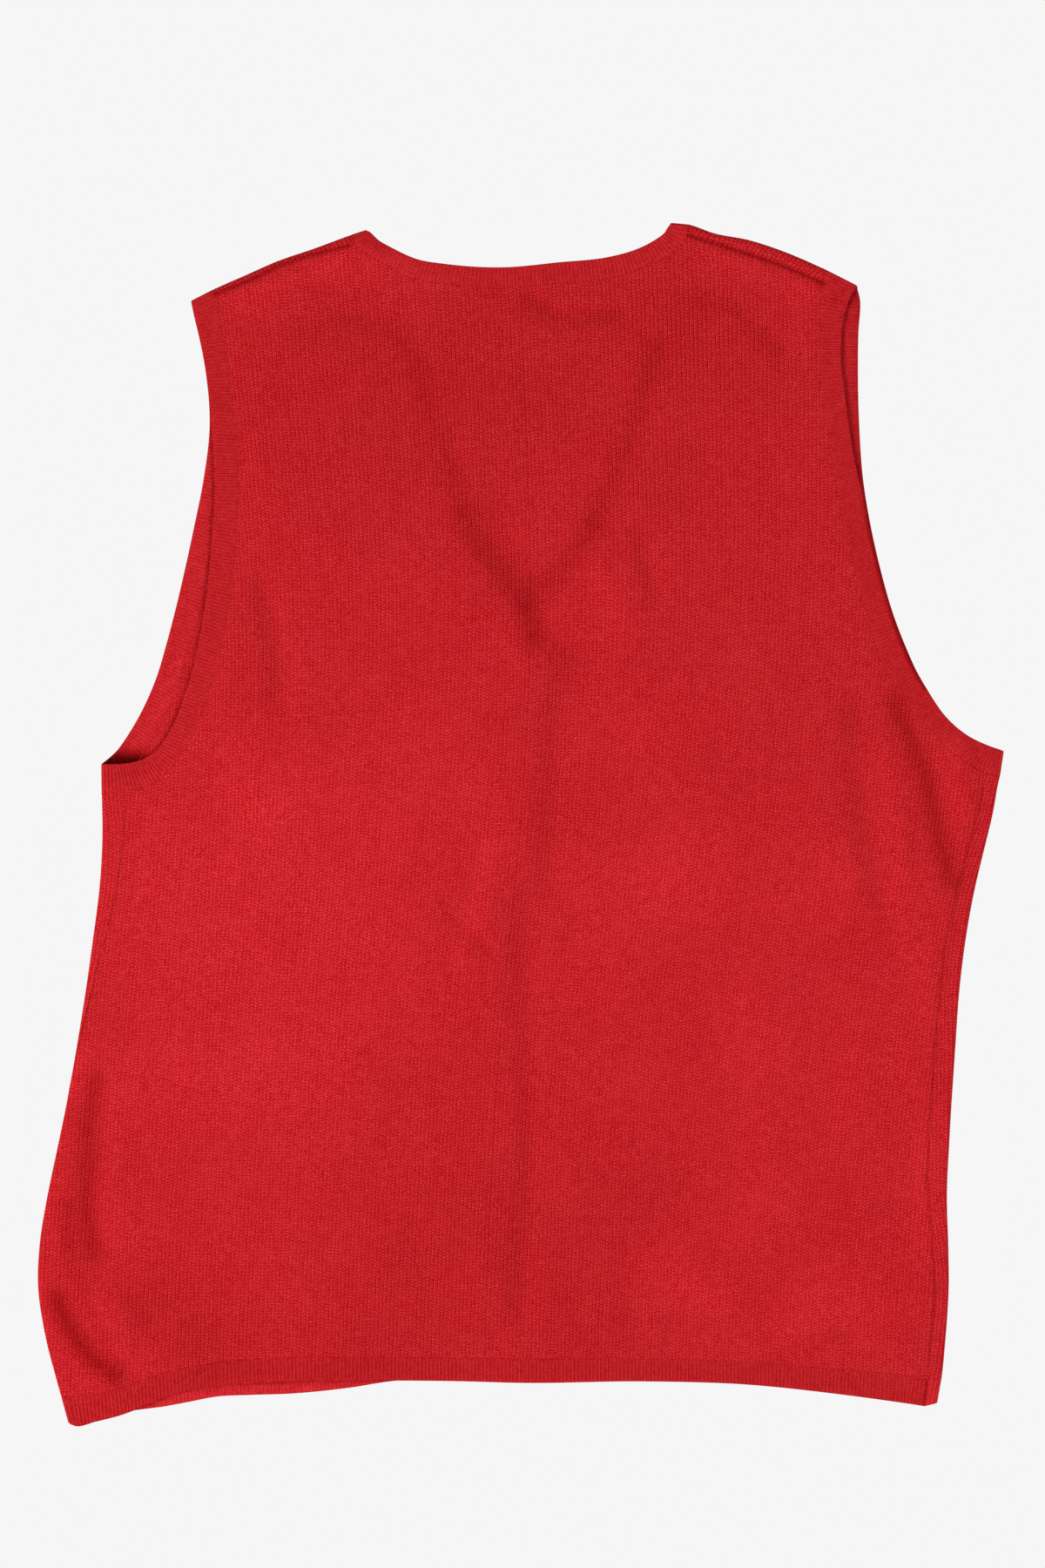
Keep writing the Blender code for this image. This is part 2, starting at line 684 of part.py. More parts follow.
def rung_points():
    """Flat pattern points along each fold, a row for every eighth of a turn."""
    levels = []
    for fold in FOLDS:
        total = lengths(fold.line)[-1]
        count = round(total / SEAM_STATION)
        feet = at_length(fold.line, np.linspace(0, total, count + 1))
        _, foot, away = fold.project(feet)
        for step in range(5):
            arc = FOLD_RADIUS * HALF_TURN * step / 4
            levels.append(foot + away * (arc - FOLD_RADIUS))
    return levels


def panel_solid(name, loop, spacing, top):
    """Cut a flat pattern inside the loop, fold it, and give it its wall."""
    loop = inset_loop(loop, SEAM_GAP / 2)
    closed = np.vstack((loop, loop[:1]))
    points = [loop]
    edges = [(i, (i + 1) % len(loop)) for i in range(len(loop))]
    total = len(loop)
    for level in rung_points():
        good = inside_loop(level, loop)
        good &= polyline_distance(level, closed) > 0.6
        ids = np.full(len(level), -1)
        ids[good] = total + np.arange(good.sum())
        for a, b in zip(ids[:-1], ids[1:]):
            if a >= 0 and b >= 0:
                edges.append((int(a), int(b)))
        points.append(level[good])
        total += int(good.sum())
    low = loop.min(0)
    high = loop.max(0)
    rows = np.arange(low[1] + spacing / 2, high[1], spacing * 0.87)
    grid = []
    for k, y in enumerate(rows):
        xs = np.arange(low[0] + spacing * (0.25 + 0.5 * (k % 2)), high[0], spacing)
        grid.append(np.column_stack((xs, np.full(len(xs), y))))
    grid = np.vstack(grid)
    keep = inside_loop(grid, loop)
    keep &= polyline_distance(grid, closed) > min(spacing * 0.45, 8.0)
    grid = grid[keep]
    signed = np.min([f.project(grid)[0] for f in FOLDS], axis=0)
    grid = grid[signed > FOLD_RADIUS + 3.0]
    points.append(grid)
    flat = np.vstack(points)
    result = delaunay_2d_cdt([tuple(p) for p in flat], edges, [list(range(len(loop)))], 1, 1e-5)
    flat = np.array([tuple(v) for v in result[0]])
    faces = [tuple(f) for f in result[2]]
    xy, phi = fold_pattern(flat, top)
    middle = place(xy, phi)
    return add_part(name, *thicken(middle, outward(xy, phi), faces))


def thicken(middle, normal, faces):
    """Closed wall about a sheet: both sides, and quads along its border."""
    count = len(middle)
    verts = np.vstack((middle + normal * WALL / 2, middle - normal * WALL / 2))
    shell = [tuple(f) for f in faces]
    shell += [tuple(i + count for i in reversed(f)) for f in faces]
    seen = {}
    for f in faces:
        for i in range(3):
            seen[(f[i], f[(i + 1) % 3])] = True
    for i, j in seen:
        if (j, i) not in seen:
            shell.append((j, i, i + count, j + count))
    return verts, shell


# -------------------------------------------------------------------- objects
def add_part(name, verts, faces):
    """One named object in metres with its own material."""
    mesh = bpy.data.meshes.new(name)
    mesh.from_pydata(((verts - (CENTRE_X, CENTRE_Y, 0.0)) * MM).tolist(), [], faces)
    bm = bmesh.new()
    bm.from_mesh(mesh)
    bmesh.ops.remove_doubles(bm, verts=bm.verts, dist=1e-6)
    bmesh.ops.triangulate(bm, faces=bm.faces)
    bmesh.ops.recalc_face_normals(bm, faces=bm.faces)
    bm.to_mesh(mesh)
    bm.free()
    material = bpy.data.materials.new(name + "_yarn")
    material.use_nodes = True
    shader = material.node_tree.nodes["Principled BSDF"]
    shader.inputs["Base Color"].default_value = LOOP_RED
    shader.inputs["Roughness"].default_value = 0.9
    mesh.materials.append(material)
    part = bpy.data.objects.new(name, mesh)
    bpy.context.collection.objects.link(part)
    return part


def seam_line(stations):
    """Seam edge of a band: x, y and turn of each station."""
    return stations[:, 2:5]


def side_seam(fold, column, y_top, y_bottom):
    """Inner stations of a side seam between two heights, ends left out."""
    table = np.array(SIDE_SEAMS)[::-1]
    count = max(2, round((y_top - y_bottom) / SEAM_STATION))
    ys = np.linspace(y_top, y_bottom, count + 1)[1:-1]
    arc = np.interp(ys, table[:, 0], table[:, column])
    at = np.column_stack((np.interp(ys, *sorted_line(fold)), ys))
    _, foot, away = fold.project(at)
    xy, phi = from_arc(foot, away, HALF_TURN / 2 * FOLD_RADIUS + arc, False)
    return np.column_stack((xy, phi))


def sorted_line(fold):
    """Fold line as rising y and the x at it."""
    order = np.argsort(fold.line[:, 1])
    return fold.line[order, 1], fold.line[order, 0]


def shoulder_seam(fold, table, arm_point, neck_point):
    """Inner stations of a shoulder seam from the armhole to the neck."""
    span = np.linalg.norm(neck_point[:2] - arm_point[:2])
    count = max(2, round(span / SEAM_STATION))
    share = np.linspace(0, 1, count + 1)[1:-1]
    chord = arm_point[:2] + share[:, None] * (neck_point[:2] - arm_point[:2])
    _, foot, away = fold.project(chord)
    rows = np.array(table)
    inset = np.interp(share, rows[:, 0], rows[:, 1])
    xy = foot - away * inset[:, None]
    return np.column_stack((xy, np.full(len(xy), HALF_TURN)))


def build():
    """Make the seven pieces of the vest."""
    arm_left_top = strip_run(ARM_LEFT_BACK, True, (True, True), (4.4, 14.0))
    arm_left_low = strip_run(ARM_LEFT_FRONT, False, (True, True))
    arm_right_top = strip_run(ARM_RIGHT_BACK, True, (True, True), (8.6, 9.0))
    arm_right_low = strip_run(ARM_RIGHT_FRONT, False, (True, True))
    neck_top = strip_run(NECK_BACK, True, (True, True), (6.6, 6.6))
    neck_low_left = strip_run(NECK_FRONT_LEFT, False, (True, False))
    neck_low_right = strip_run(NECK_FRONT_RIGHT, False, (True, False))
    hem_top = strip_run(HEM_BACK, True, (True, False))
    hem_low = join_runs(
        strip_run(HEM_FRONT, False, (True, True)),
        strip_run(HEM_FRONT_WRAP, True, (True, False)),
    )
    shift = SEAM_GAP / 2 / FOLD_RADIUS
    hem_top[0, 4] += shift
    hem_low[0, 4] -= shift
    hem_top[-1, [0, 2]] -= SEAM_GAP / 2
    hem_low[-1, [0, 2]] += SEAM_GAP / 2

    arm_left = join_runs(arm_left_top, arm_left_low[::-1])[:-1]
    arm_right = join_runs(arm_right_top, arm_right_low[::-1])[:-1]
    neck_low = join_runs(neck_low_right, neck_low_left[::-1])
    neck = join_runs(neck_top, neck_low)[:-1]

    strip_solid("armhole_band_left", arm_left, True, RIBS_SHOWN["armhole_left"])
    strip_solid("armhole_band_right", arm_right, True, RIBS_SHOWN["armhole_right"])
    strip_solid("neckband", neck, True, RIBS_SHOWN["neck"])
    strip_solid("hem_rib_back", hem_top, False, RIBS_SHOWN["hem_back"])
    strip_solid("hem_rib_front", hem_low, False, RIBS_SHOWN["hem_front"])

    al_top = seam_line(arm_left_top)
    ar_top = seam_line(arm_right_top)
    nk_top = seam_line(neck_top)
    al_shoulder = 3
    al_side = len(al_top) - 4
    ar_shoulder = 3
    ar_side = len(ar_top) - 4
    nk_left = 3
    nk_right = len(nk_top) - 4
    hem_top_seam = seam_line(hem_top)
    hem_low_seam = seam_line(hem_low)

    left_side = side_seam(SIDE_LEFT, 1, al_top[al_side, 1], hem_top_seam[0, 1])
    right_side = side_seam(SIDE_RIGHT, 2, ar_top[ar_side, 1], hem_top_seam[-1, 1])
    left_shoulder = shoulder_seam(SHOULDER_LEFT, SHOULDER_LEFT_SEAM, al_top[al_shoulder], nk_top[nk_left])
    right_shoulder = shoulder_seam(SHOULDER_RIGHT, SHOULDER_RIGHT_SEAM, ar_top[ar_shoulder], nk_top[nk_right])

    back = np.vstack((
        hem_top_seam,
        right_side[::-1],
        ar_top[ar_shoulder:ar_side + 1][::-1],
        right_shoulder,
        nk_top[nk_left:nk_right + 1][::-1],
        left_shoulder[::-1],
        al_top[al_shoulder:al_side + 1],
        left_side,
    ))
    front = np.vstack((
        hem_low_seam,
        right_side[::-1],
        ar_top[ar_side:],
        seam_line(arm_right_low)[::-1][1:],
        ar_top[1:ar_shoulder + 1],
        right_shoulder,
        nk_top[nk_right:],
        seam_line(neck_low)[1:-1],
        nk_top[:nk_left + 1],
        left_shoulder[::-1],
        al_top[:al_shoulder + 1][::-1],
        seam_line(arm_left_low)[1:],
        al_top[al_side:][::-1][1:],
        left_side,
    ))
    panel_solid("back_panel", unfold(back[:, :2], back[:, 2], True), BACK_MESH, True)
    panel_solid("front_panel", unfold(front[:, :2], front[:, 2], False), FRONT_MESH, False)


for old in list(bpy.data.objects):
    bpy.data.objects.remove(old, do_unlink=True)
build()
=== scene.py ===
"""Knitted V-neck sweater vest laid flat with its back up.

Every piece of cloth is a thin wall in a flattened tube, in the same frame as
the solids.  A point of cloth is its plan position and the angle it has gone
round a fold: 0 on the bottom layer (the front), pi on the top layer (the
back).  Panels are grids of two parameters stretched between their seams; rib
bands are closed profiles carried along the seam.  Lengths are in millimetres
until a mesh is made.
"""
import math

import bpy
import numpy as np
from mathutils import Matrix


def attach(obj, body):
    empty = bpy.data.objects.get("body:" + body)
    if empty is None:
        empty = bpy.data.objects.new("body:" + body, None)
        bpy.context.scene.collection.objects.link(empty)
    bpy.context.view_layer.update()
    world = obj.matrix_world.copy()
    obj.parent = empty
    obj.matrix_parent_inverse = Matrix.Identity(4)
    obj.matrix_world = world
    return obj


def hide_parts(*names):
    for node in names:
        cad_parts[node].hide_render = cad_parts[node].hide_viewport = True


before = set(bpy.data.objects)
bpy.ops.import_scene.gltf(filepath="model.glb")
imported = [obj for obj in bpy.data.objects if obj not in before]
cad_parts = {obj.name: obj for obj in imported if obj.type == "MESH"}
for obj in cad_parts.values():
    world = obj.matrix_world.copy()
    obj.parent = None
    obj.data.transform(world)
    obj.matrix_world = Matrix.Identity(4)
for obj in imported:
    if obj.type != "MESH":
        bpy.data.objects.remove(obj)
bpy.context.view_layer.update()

MM = 0.001
CENTRE = np.array((-0.27, -0.38, 0.0))

# The wall, the half circle its middle takes round a fold, and the rounded rim at a seam.
WALL = 1.6
HALF = WALL / 2
FOLD_RADIUS = 1.9
FOLD_CENTRE = HALF + FOLD_RADIUS
FOLD_ARC = math.pi * FOLD_RADIUS
RIM_REACH = 0.5
SEAM_LAP = 0.12
RIM_ANGLES = np.radians((60, 30, 0, -30, -60))
TURNS = np.linspace(math.pi / 2, math.pi, 9)
SPLINE_STEPS = 24
# Pairs of point and segment taken at a time, rounds that a strip's ends take to settle on the bands.
PAIRS_AT_ONCE = 600000
SETTLING = 12

# Lowest middle of the top layer over cloth, over bands and in the V opening; its rise and drops.
LAYER_FLOOR = 2.8
BAND_FLOOR = 3.4
OPEN_FLOOR = 1.3
PUFF = 1.3
EDGE_DROP = 1.1
V_DROP = 1.6
# Lengths over which those and the creases fade, and over which band edges fall into step at a fold.
CREASE_FADE = 14.0
RELIEF_FADE = 3.5
DROP_FADE = 30.0
OPEN_FADE = 25.0
PUFF_FADE = 45.0
BAND_WIDTH = 16.0
BAND_FADE = 8.0
STEP_IN = 20.0

# Size of a stitch; widest steps of the panels' grids, and columns of the front's strips round the folds.
WALE = 2.31
COURSE = 1.8
BACK_PITCH = 3.0
FRONT_PITCH = 5.0
V_PITCH = 4.6
SIDE_COLUMNS = 21
SHOULDER_COLUMNS = 16
# Graded steps of the grids: length, least step, its growth and widest step.
BACK_ROWS = (360.0, 0.9, 1.3, BACK_PITCH)
FRONT_ROWS = (360.0, 1.2, 1.35, FRONT_PITCH)
SHOULDER_ROWS = (90.0, 0.9, 1.3, 3.6)
LEFT_STRIP = (22.0, 0.55, 1.08, 2.6)
RIGHT_STRIP = (16.0, 0.7, 1.15, 2.6)
FRONT_STRIP = (12.0, 0.8, 1.3, 3.0)
# How far over the folds the back's side strips reach; how far inside a fold and beyond its ends a
# seam is looked for; the bell a side seam is averaged under; where a band has left its fold.
LEFT_REACH = 22.0
RIGHT_REACH = 20.0
FOLD_NEAR = 40.0
FOLD_BEYOND = 45.0
SEAM_BELL = 9.0
FOLD_LEFT = 6.0

# A linking stitch: half length across the seam, half width along it, half height; its depth; its
# pitch on the folds; grid steps from one to the next on the bands.
STITCH = (0.7, 0.42, 0.4)
STITCH_SUNK = 0.12
STITCH_PITCH = 1.5
STITCH_STEPS = 4

# Ribs: height of a ridge, how far the valley sinks, the power that rounds them, least height at the
# ends of an open band and length of that fade, fade from free edge to seam; steps to a rib, along a
# run and at an open end, passes that soften the normals, columns.
RIB_CREST = 0.62
RIB_SINK = 0.3
RIB_ROUND = 0.8
RIB_END = 0.15
RIB_END_FADE = 0.7
RIB_FADE_AT = (0.0, 0.08, 0.9, 1.0)
RIB_FADE = (0.8, 1.0, 1.0, 0.35)
RIB_STEPS = 8
RUN_STEP = 0.8
END_STEPS = np.array((0.0, 0.12, 0.3))
SOFTENING = 4
BAND_COLUMNS = 7
BAND_SHARES = np.linspace(0, 1, BAND_COLUMNS)

# Painted shade along the seams and painted shadow under the edges over an opening, and its limit; the linked seams lie
# above the hem.
EDGE_SHADE = -0.32
EDGE_SHADE_HALF = 1.1
SEAM_SHADE = -0.5
DEEPEST = -0.9
HEM_TOP = -316.0

# Yarn: how far loops wander across and along their wale; lean and roundness of a loop, and how much
# taller, and so paler as painted light, one leg is than the other, as if lit from that side.
WANDER_ACROSS = 0.38
SWAY_ACROSS = 0.5
WANDER_UP = 1.1
SHIFT_SEED = 0.37
SHIFT_UP = 0.5
LEG_RISE = 0.5
LEG_FLOOR = 0.5
LEG_LIT_SIDE = 0.25
LOOP_ROUND = 0.6
# On ribs: share of the loops, of the ridge and of its two lines, less the mean of |cos|; its level.
# The valleys between ridges are painted darker, as painted shade, and sink in the bump.
RIB_LOOP = 0.36
RIB_DEPTH = 0.16
RIB_TWIN = 0.5
COSINE_MEAN = 0.64
RIB_LEVEL = 0.42
# Shares of loops, painted darker where low as painted shade, and of noises in the colour; painted shade
# between the wales, and its growth in creases where the painted shade is deep.
LOOP_SHADE = 0.55
TONE_FLUFF = 0.9
TONE_BLOTCH = 0.27
TONE_CLOUD = 0.12
GAP_SHADE = 0.18
GAP_SHADE_GROWTH = 0.6
TONE_RANGE = (-0.3, 0.85)
GAP_RANGE = (0.2, 0.5)
GAP_SHARE = 0.12
CREASE_DEEPEN = 5.0
DEEPEN_RANGE = (0.3, 1.7)
# Powers by which green and blue follow the painted shade and painted light; colours from deep to bright.
PALE_DARK = 2.2
PALE_LIGHT = 1.3
YARN_SHADES = ((0.34, 0.0, 0.0005, 1.0), (0.555, 0.0105, 0.0165, 1.0), (0.8, 0.047, 0.057, 1.0))
# Bump: strength, depth in metres, and shares of the noises.
BUMP_STRENGTH = 0.8
BUMP_PANEL = 0.0004
BUMP_RIB = 0.00025
BUMP_FLUFF = 0.5
BUMP_BLOTCH = 0.4

# Stage, in metres: grey, reach and height of the floor, the world's strength, where the camera stands
# and how tall the frame is.
FLOOR_GREY = 0.92
FLOOR_REACH = 30.0
FLOOR_HEIGHT = -0.0003
SKY_STRENGTH = 0.33
CAMERA_PLACE = (0.00105, 0.02404)
CAMERA_BASE = 0.005
CAMERA_HEIGHT = 2.2
FRAME_TALL = 0.936

# Rib bands: free edge x, free edge y, seam edge x, seam edge y.
ARM_LEFT_BACK = (
    (-197.3, 312.3, -182.5, 319.8), (-195.5, 303.4, -180.7, 308.6), (-192.1, 288.9, -177.6, 291.5),
    (-188.5, 270.7, -174.7, 272.2), (-186.2, 252.5, -171.9, 251.4), (-184.3, 226.5, -169.3, 225.4),
    (-183.3, 200.5, -168.2, 200.5), (-184.3, 179.7, -169.8, 177.6), (-188, 138.1, -173.7, 134.9),
    (-191.1, 117.3, -177.6, 112.1), (-195.8, 93.9, -182.8, 90.2), (-201.5, 75.7, -188.5, 71.5),
    (-208.3, 58.5, -195.8, 53.8), (-216.6, 45.5, -205.1, 38.7), (-227, 38.2, -218.7, 24.2),
    (-238.4, 35.9, -234.3, 20), (-250.9, 35.6, -250.4, 17.9),
)
ARM_LEFT_FRONT = (
    (-197.3, 312.3, -182.5, 319.8), (-192.7, 291.5, -179.1, 295.1), (-188.5, 268.1, -175, 270.7),
    (-186.4, 239.5, -172.4, 238.9), (-190.1, 205.7, -176, 202.5), (-195.8, 177.1, -182.3, 172.9),
    (-202, 148.5, -188.5, 144.3), (-207.2, 126.6, -193.7, 121.9), (-212.4, 106.9, -199.4, 101.7),
    (-218.7, 86.1, -206.2, 79.8), (-227.5, 66.3, -215.5, 59), (-237.4, 49.7, -227, 40.3),
    (-244, 41.5, -240, 22), (-250.9, 35.6, -250.4, 17.9),
)
ARM_RIGHT_BACK = (
    (200.7, 321.4, 180.2, 331.8), (195.8, 312.3, 179.1, 315.9), (192.1, 298.2, 177.6, 299.3),
    (191.1, 281.1, 177.3, 281.1), (193.7, 255.1, 179.7, 252.5), (196.3, 234.3, 182.8, 230.6),
    (200.5, 210.9, 186.9, 206.7), (205.7, 190.1, 191.4, 181.7), (210.6, 168.2, 196.8, 158.9),
    (216.6, 143.3, 202.5, 136.5), (224.4, 118.3, 208.8, 113.6), (232.2, 99.1, 217.6, 90.2),
    (242.1, 80.9, 229.6, 74.6), (253.5, 64.2, 241.5, 59.5), (266.5, 52.8, 255.1, 43.9),
    (279.5, 46.5, 270.7, 33.5), (288.4, 43.4, 285.5, 27.3),
)
ARM_RIGHT_FRONT = (
    (200.7, 321.4, 180.2, 331.8), (202.8, 312.3, 183.3, 314.9), (201.8, 294.1, 186.4, 295.1),
    (201.5, 268.1, 186.9, 268.1), (202.3, 236.9, 188, 235.8), (204.6, 205.7, 190.6, 203.1),
    (209, 178.6, 194.7, 173.4), (215.5, 150, 201.5, 144.3), (221.8, 127.7, 208.3, 120.9),
    (229.6, 106.9, 216.1, 98.5), (240.5, 83.5, 228, 75.7), (253, 64.2, 241, 58), (266, 52.8, 254.5, 43.4),
    (279, 46.5, 270.1, 33.5), (288.4, 43.4, 285.5, 27.3),
)
HEM_BACK = (
    (-270.9, -357.5, -275.1, -341.9), (-266, -359.8, -267.5, -341.9), (-254, -357.2, -255.1, -340.6),
    (-238.9, -353.3, -240.5, -337), (-225.4, -348.1, -226.5, -332.3), (-209.8, -341.6, -210.9, -327.3),
    (-195.3, -338.3, -195.8, -324), (-173.9, -335.4, -174.5, -320.8), (-147.4, -333.6, -147.9, -319),
    (-103.2, -332.8, -103.2, -318.5), (-36.7, -333.1, -36.7, -319), (0.8, -334.1, 0.8, -319.5),
    (73.6, -333.2, 73.6, -319.5), (134.9, -335.1, 134.9, -321.4), (185.4, -340.3, 186.4, -325.5),
    (224.4, -345.5, 225.4, -328.9), (240.8, -347.9, 243.1, -332),
)
HEM_FRONT = (
    (-270.9, -357.5, -275.1, -341.9), (-259.2, -355.2, -261.3, -340.3), (-243.6, -352.8, -245.7, -338.3),
    (-228, -350.5, -229.1, -335.9), (-214, -348.7, -215, -334.1), (-199.9, -346.1, -201, -331.5),
    (-181.7, -342.7, -182.3, -328.1), (-163, -341.8, -163.5, -327.3), (-137, -340.9, -137.5, -326.3),
    (-101.1, -337.2, -102.2, -322.7), (-78.3, -333.6, -78.8, -319), (-51.2, -331.8, -51.2, -317.5),
    (0.8, -332.3, 0.8, -318), (84, -331.5, 84, -317.5), (141.2, -334.1, 141.2, -320.1),
    (185.4, -339.3, 185.9, -324.7), (224.4, -344.2, 225.4, -329.4), (248.8, -345.8, 251.1, -332.8),
)
HEM_FRONT_WRAP = ((248.8, -345.8, 251.1, -332.8), (245, -346.9, 247.2, -332.4), (240.8, -347.9, 243.1, -332))
NECK_BACK = (
    (-93.3, 354.4, -102.2, 351.5), (-90.2, 353.1, -98.5, 345.5), (-85.5, 348.7, -92.3, 339.8),
    (-77.2, 344, -81.9, 334.6), (-61.6, 337.2, -66.3, 325.8), (-46, 334.6, -48.6, 322.7),
    (-10.7, 332.5, -11.2, 320.8), (21.6, 335.4, 22.6, 322.7), (52.8, 338.8, 54.9, 326.3),
    (67.3, 342.7, 71.5, 332), (77.7, 347.4, 84.5, 337.2), (85.5, 352.8, 94.9, 344),
    (87.9, 356.5, 99.1, 351.3), (89.7, 358.8, 100.6, 357.8),
)
NECK_FRONT_LEFT = (
    (-93.3, 354.4, -102.2, 351.5), (-90.7, 348.7, -100.6, 345), (-83.5, 329.4, -93.9, 326.3),
    (-74.1, 303.4, -85, 299.3), (-62.7, 270.7, -73.6, 266.5), (-51.2, 236.9, -62.1, 233.2),
    (-37.7, 200.5, -48.6, 195.8), (-20, 161.5, -29.9, 155.2), (7.5, 116.2, 8.1, 98.5),
)
NECK_FRONT_RIGHT = (
    (89.7, 358.8, 100.6, 357.8), (90, 346.1, 101.1, 345.5), (89.2, 330.5, 100.6, 329.4),
    (85.5, 301.9, 96.5, 299.8), (77.7, 267, 88.7, 263.9), (66.8, 231.7, 77.7, 227.5),
    (52.8, 195.3, 63.2, 190.1), (34.1, 158.3, 43.9, 152.1), (7.5, 116.2, 8.1, 98.5),
)

# Fold lines along the outline: x, y.  Listed so that the cloth lies to the left.
FOLD_SIDE_LEFT = (
    (-250.9, 35.6), (-250.7, 17.9), (-250.3, -4.9), (-251.9, -36.1), (-256.1, -69.9), (-260.5, -101.1),
    (-265.5, -132.3), (-271, -163.5), (-277.4, -194.7), (-283.9, -225.9), (-287.9, -251.9), (-288.9, -275.3),
    (-285.2, -302.4), (-275.1, -341.9), (-270.9, -357.5),
)
FOLD_SIDE_RIGHT = (
    (248.8, -345.8), (251.1, -332.8), (253.5, -309.1), (255.6, -275.3), (255.3, -251.9), (254.5, -223.3),
    (256.1, -186.9), (259.6, -132.3), (261.8, -101.1), (265.6, -69.9), (271.2, -38.7), (277.4, -12.7),
    (281.8, 5.5), (285.5, 25.7), (287.4, 33), (288.4, 43.4),
)
FOLD_SHOULDER_LEFT = (
    (-93.3, 354.4), (-102.2, 351.5), (-124, 343.5), (-144.8, 336.4), (-165.6, 327.3), (-182.5, 319.8),
    (-197.3, 312.3),
)
FOLD_SHOULDER_RIGHT = (
    (200.7, 321.4), (180.2, 331.8), (156.8, 341.9), (136, 348.7), (115.2, 352.8), (100.6, 357.8),
    (89.7, 358.8),
)

# Side seams, underarm to hem: y, then arc from the left fold and from the right fold to the seam.
# A negative arc lies under the fold.
SIDE_SEAMS = (
    (27, 14, 9), (2, 13.6, 9.7), (-28, 11.4, 10.1), (-60, 8.8, 11.5), (-90, 4.6, 12.1), (-122, 2.6, 12.6),
    (-153, 0.6, 13.1), (-184, -1.4, 13.1), (-216, -2.4, 13), (-240, -2.6, 10.5), (-275, -2.4, 9.3),
    (-312, -1.2, 9.4), (-342, 0, 9.2),
)
# Shoulder seams on the back: fraction from armhole to neck, distance from fold.
SHOULDER_LEFT_SEAM = ((0, 4.2), (0.3, 4), (0.6, 4.1), (0.85, 4.6), (1, 6.2))
SHOULDER_RIGHT_SEAM = ((0, 8.4), (0.2, 9), (0.5, 8.2), (0.8, 7), (1, 6.8))

# Creases of the back, each a soft bell across its own curve: half width, height, then x, y of its points.
CREASES = (
    (8.5, -1.7, -70, 296, -59, 276, -48, 243, -37, 213), (9, -1.3, -36, 214, -28, 188, -18, 170, -4, 154),
    (10.5, -2.2, -18, 170, -3, 152, 8, 134, 15, 117, 27, 106, 36, 102),
    (9, -1.7, 84, 282, 78, 260, 69, 230, 58, 202, 48, 182), (10, -2.1, 58, 202, 47, 177, 32, 154, 14, 137),
    (9, -1.5, 26, 96, 21, 60, 19, 30, 18, 0, 16, -38),
    (8, -1.5, 6, -36, 3, -62, 3, -120, 6, -180, 3, -230, -1, -292), (8.5, 1.1, -16, -10, -19, -34, -22, -58),
    (7, 0.9, -34, -72, -26, -92, -22, -112), (6, -0.8, -46, -48, -38, -66, -24, -72),
    (6.5, -2.7, 226, 72, 233, 57, 243, 34, 248, 12, 254, -12, 260, -34), (8, 1.4, 262, 50, 264, 30, 270, 6),
    (8, -1.3, 200, 74, 200, 40, 203, 10, 208, -20, 214, -46), (8, 1, 220, 44, 225, 16, 228, -10, 229, -40),
    (8, -1, 222, -76, 232, -92, 236, -118),
    (7.5, -2.1, -251, -156, -253, -178, -254, -206, -254, -234, -250, -254),
    (6, 0.5, -274, -196, -277, -234, -277, -258), (6.5, -1.9, -274, -276, -263, -297, -250, -313, -235, -325),
    (9, 0.7, -260, -262, -247, -284, -232, -300), (6, -0.9, -236, -284, -226, -296, -214, -303),
    (7, -1.5, -154, 143, -150, 119, -145, 98, -145, 72), (8, 0.9, -132, 120, -127, 88, -130, 56),
    (9, 0.9, -172, 80, -166, 46, -160, 14), (7, -1.3, 73, 174, 76, 153, 81, 134),
    (9, 1.2, 46, 152, 56, 132, 66, 112), (8, -1.2, -128, 298, -104, 304, -82, 298),
    (9, 1, -168, 316, -140, 322, -108, 330), (7, -1.2, 100, 312, 124, 308, 140, 294, 154, 284),
    (7, 0.9, 104, 340, 136, 332, 164, 316), (7, 0.8, 168, 322, 169, 304, 166, 282),
    (5.5, -1.9, 6, 315, 20, 303, 40, 301, 56, 308), (6, 0.8, 12, 322, 30, 314, 50, 316),
    (2.5, -0.45, -150, 29, -90, 27, -20, 28), (3.5, -1.2, 198, -302, 172, -309, 150, -319, 126, -331),
    (7, 0.8, 200, -290, 172, -296, 150, -304), (6, -0.7, 228, -282, 232, -296),
    (9, 0.8, 74, -254, 80, -278, 78, -304), (7, -0.8, 64, -250, 64, -280, 66, -306),
    (9, 0.7, 96, -262, 116, -284, 132, -292), (12, 0.7, 148, -196, 144, -222, 134, -246),
    (12, -0.6, -74, -140, -66, -166, -74, -200), (11, 0.6, -146, -40, -150, -62, -142, -84),
    (13, 0.8, -186, -92, -190, -122, -196, -146), (12, 0.6, -120, -122, -106, -136, -98, -150),
    (10, -0.6, -96, 72, -82, 78, -70, 88), (12, 0.5, 40, -36, 46, -62, 42, -92),
    (11, -0.5, 126, -64, 130, -86, 120, -110), (10, -0.6, 166, 130, 160, 118, 150, 108),
)

# Small relief close to the shoulder seams, in the same way.
LEFT_LINE = (-183, 316, -161, 325, -139, 335, -118, 341.5, -103, 345)
RIGHT_LINE = (101, 351, 115, 347, 130, 342, 150, 335.4, 165, 329.5, 181, 322.5)
SEAM_RELIEF = (
    (1.7, -1.1, *RIGHT_LINE),
    (1.5, -0.9, *LEFT_LINE),
    (2.5, 0.5, 104, 354, 130, 346.5, 150, 340, 178, 327.5),
)
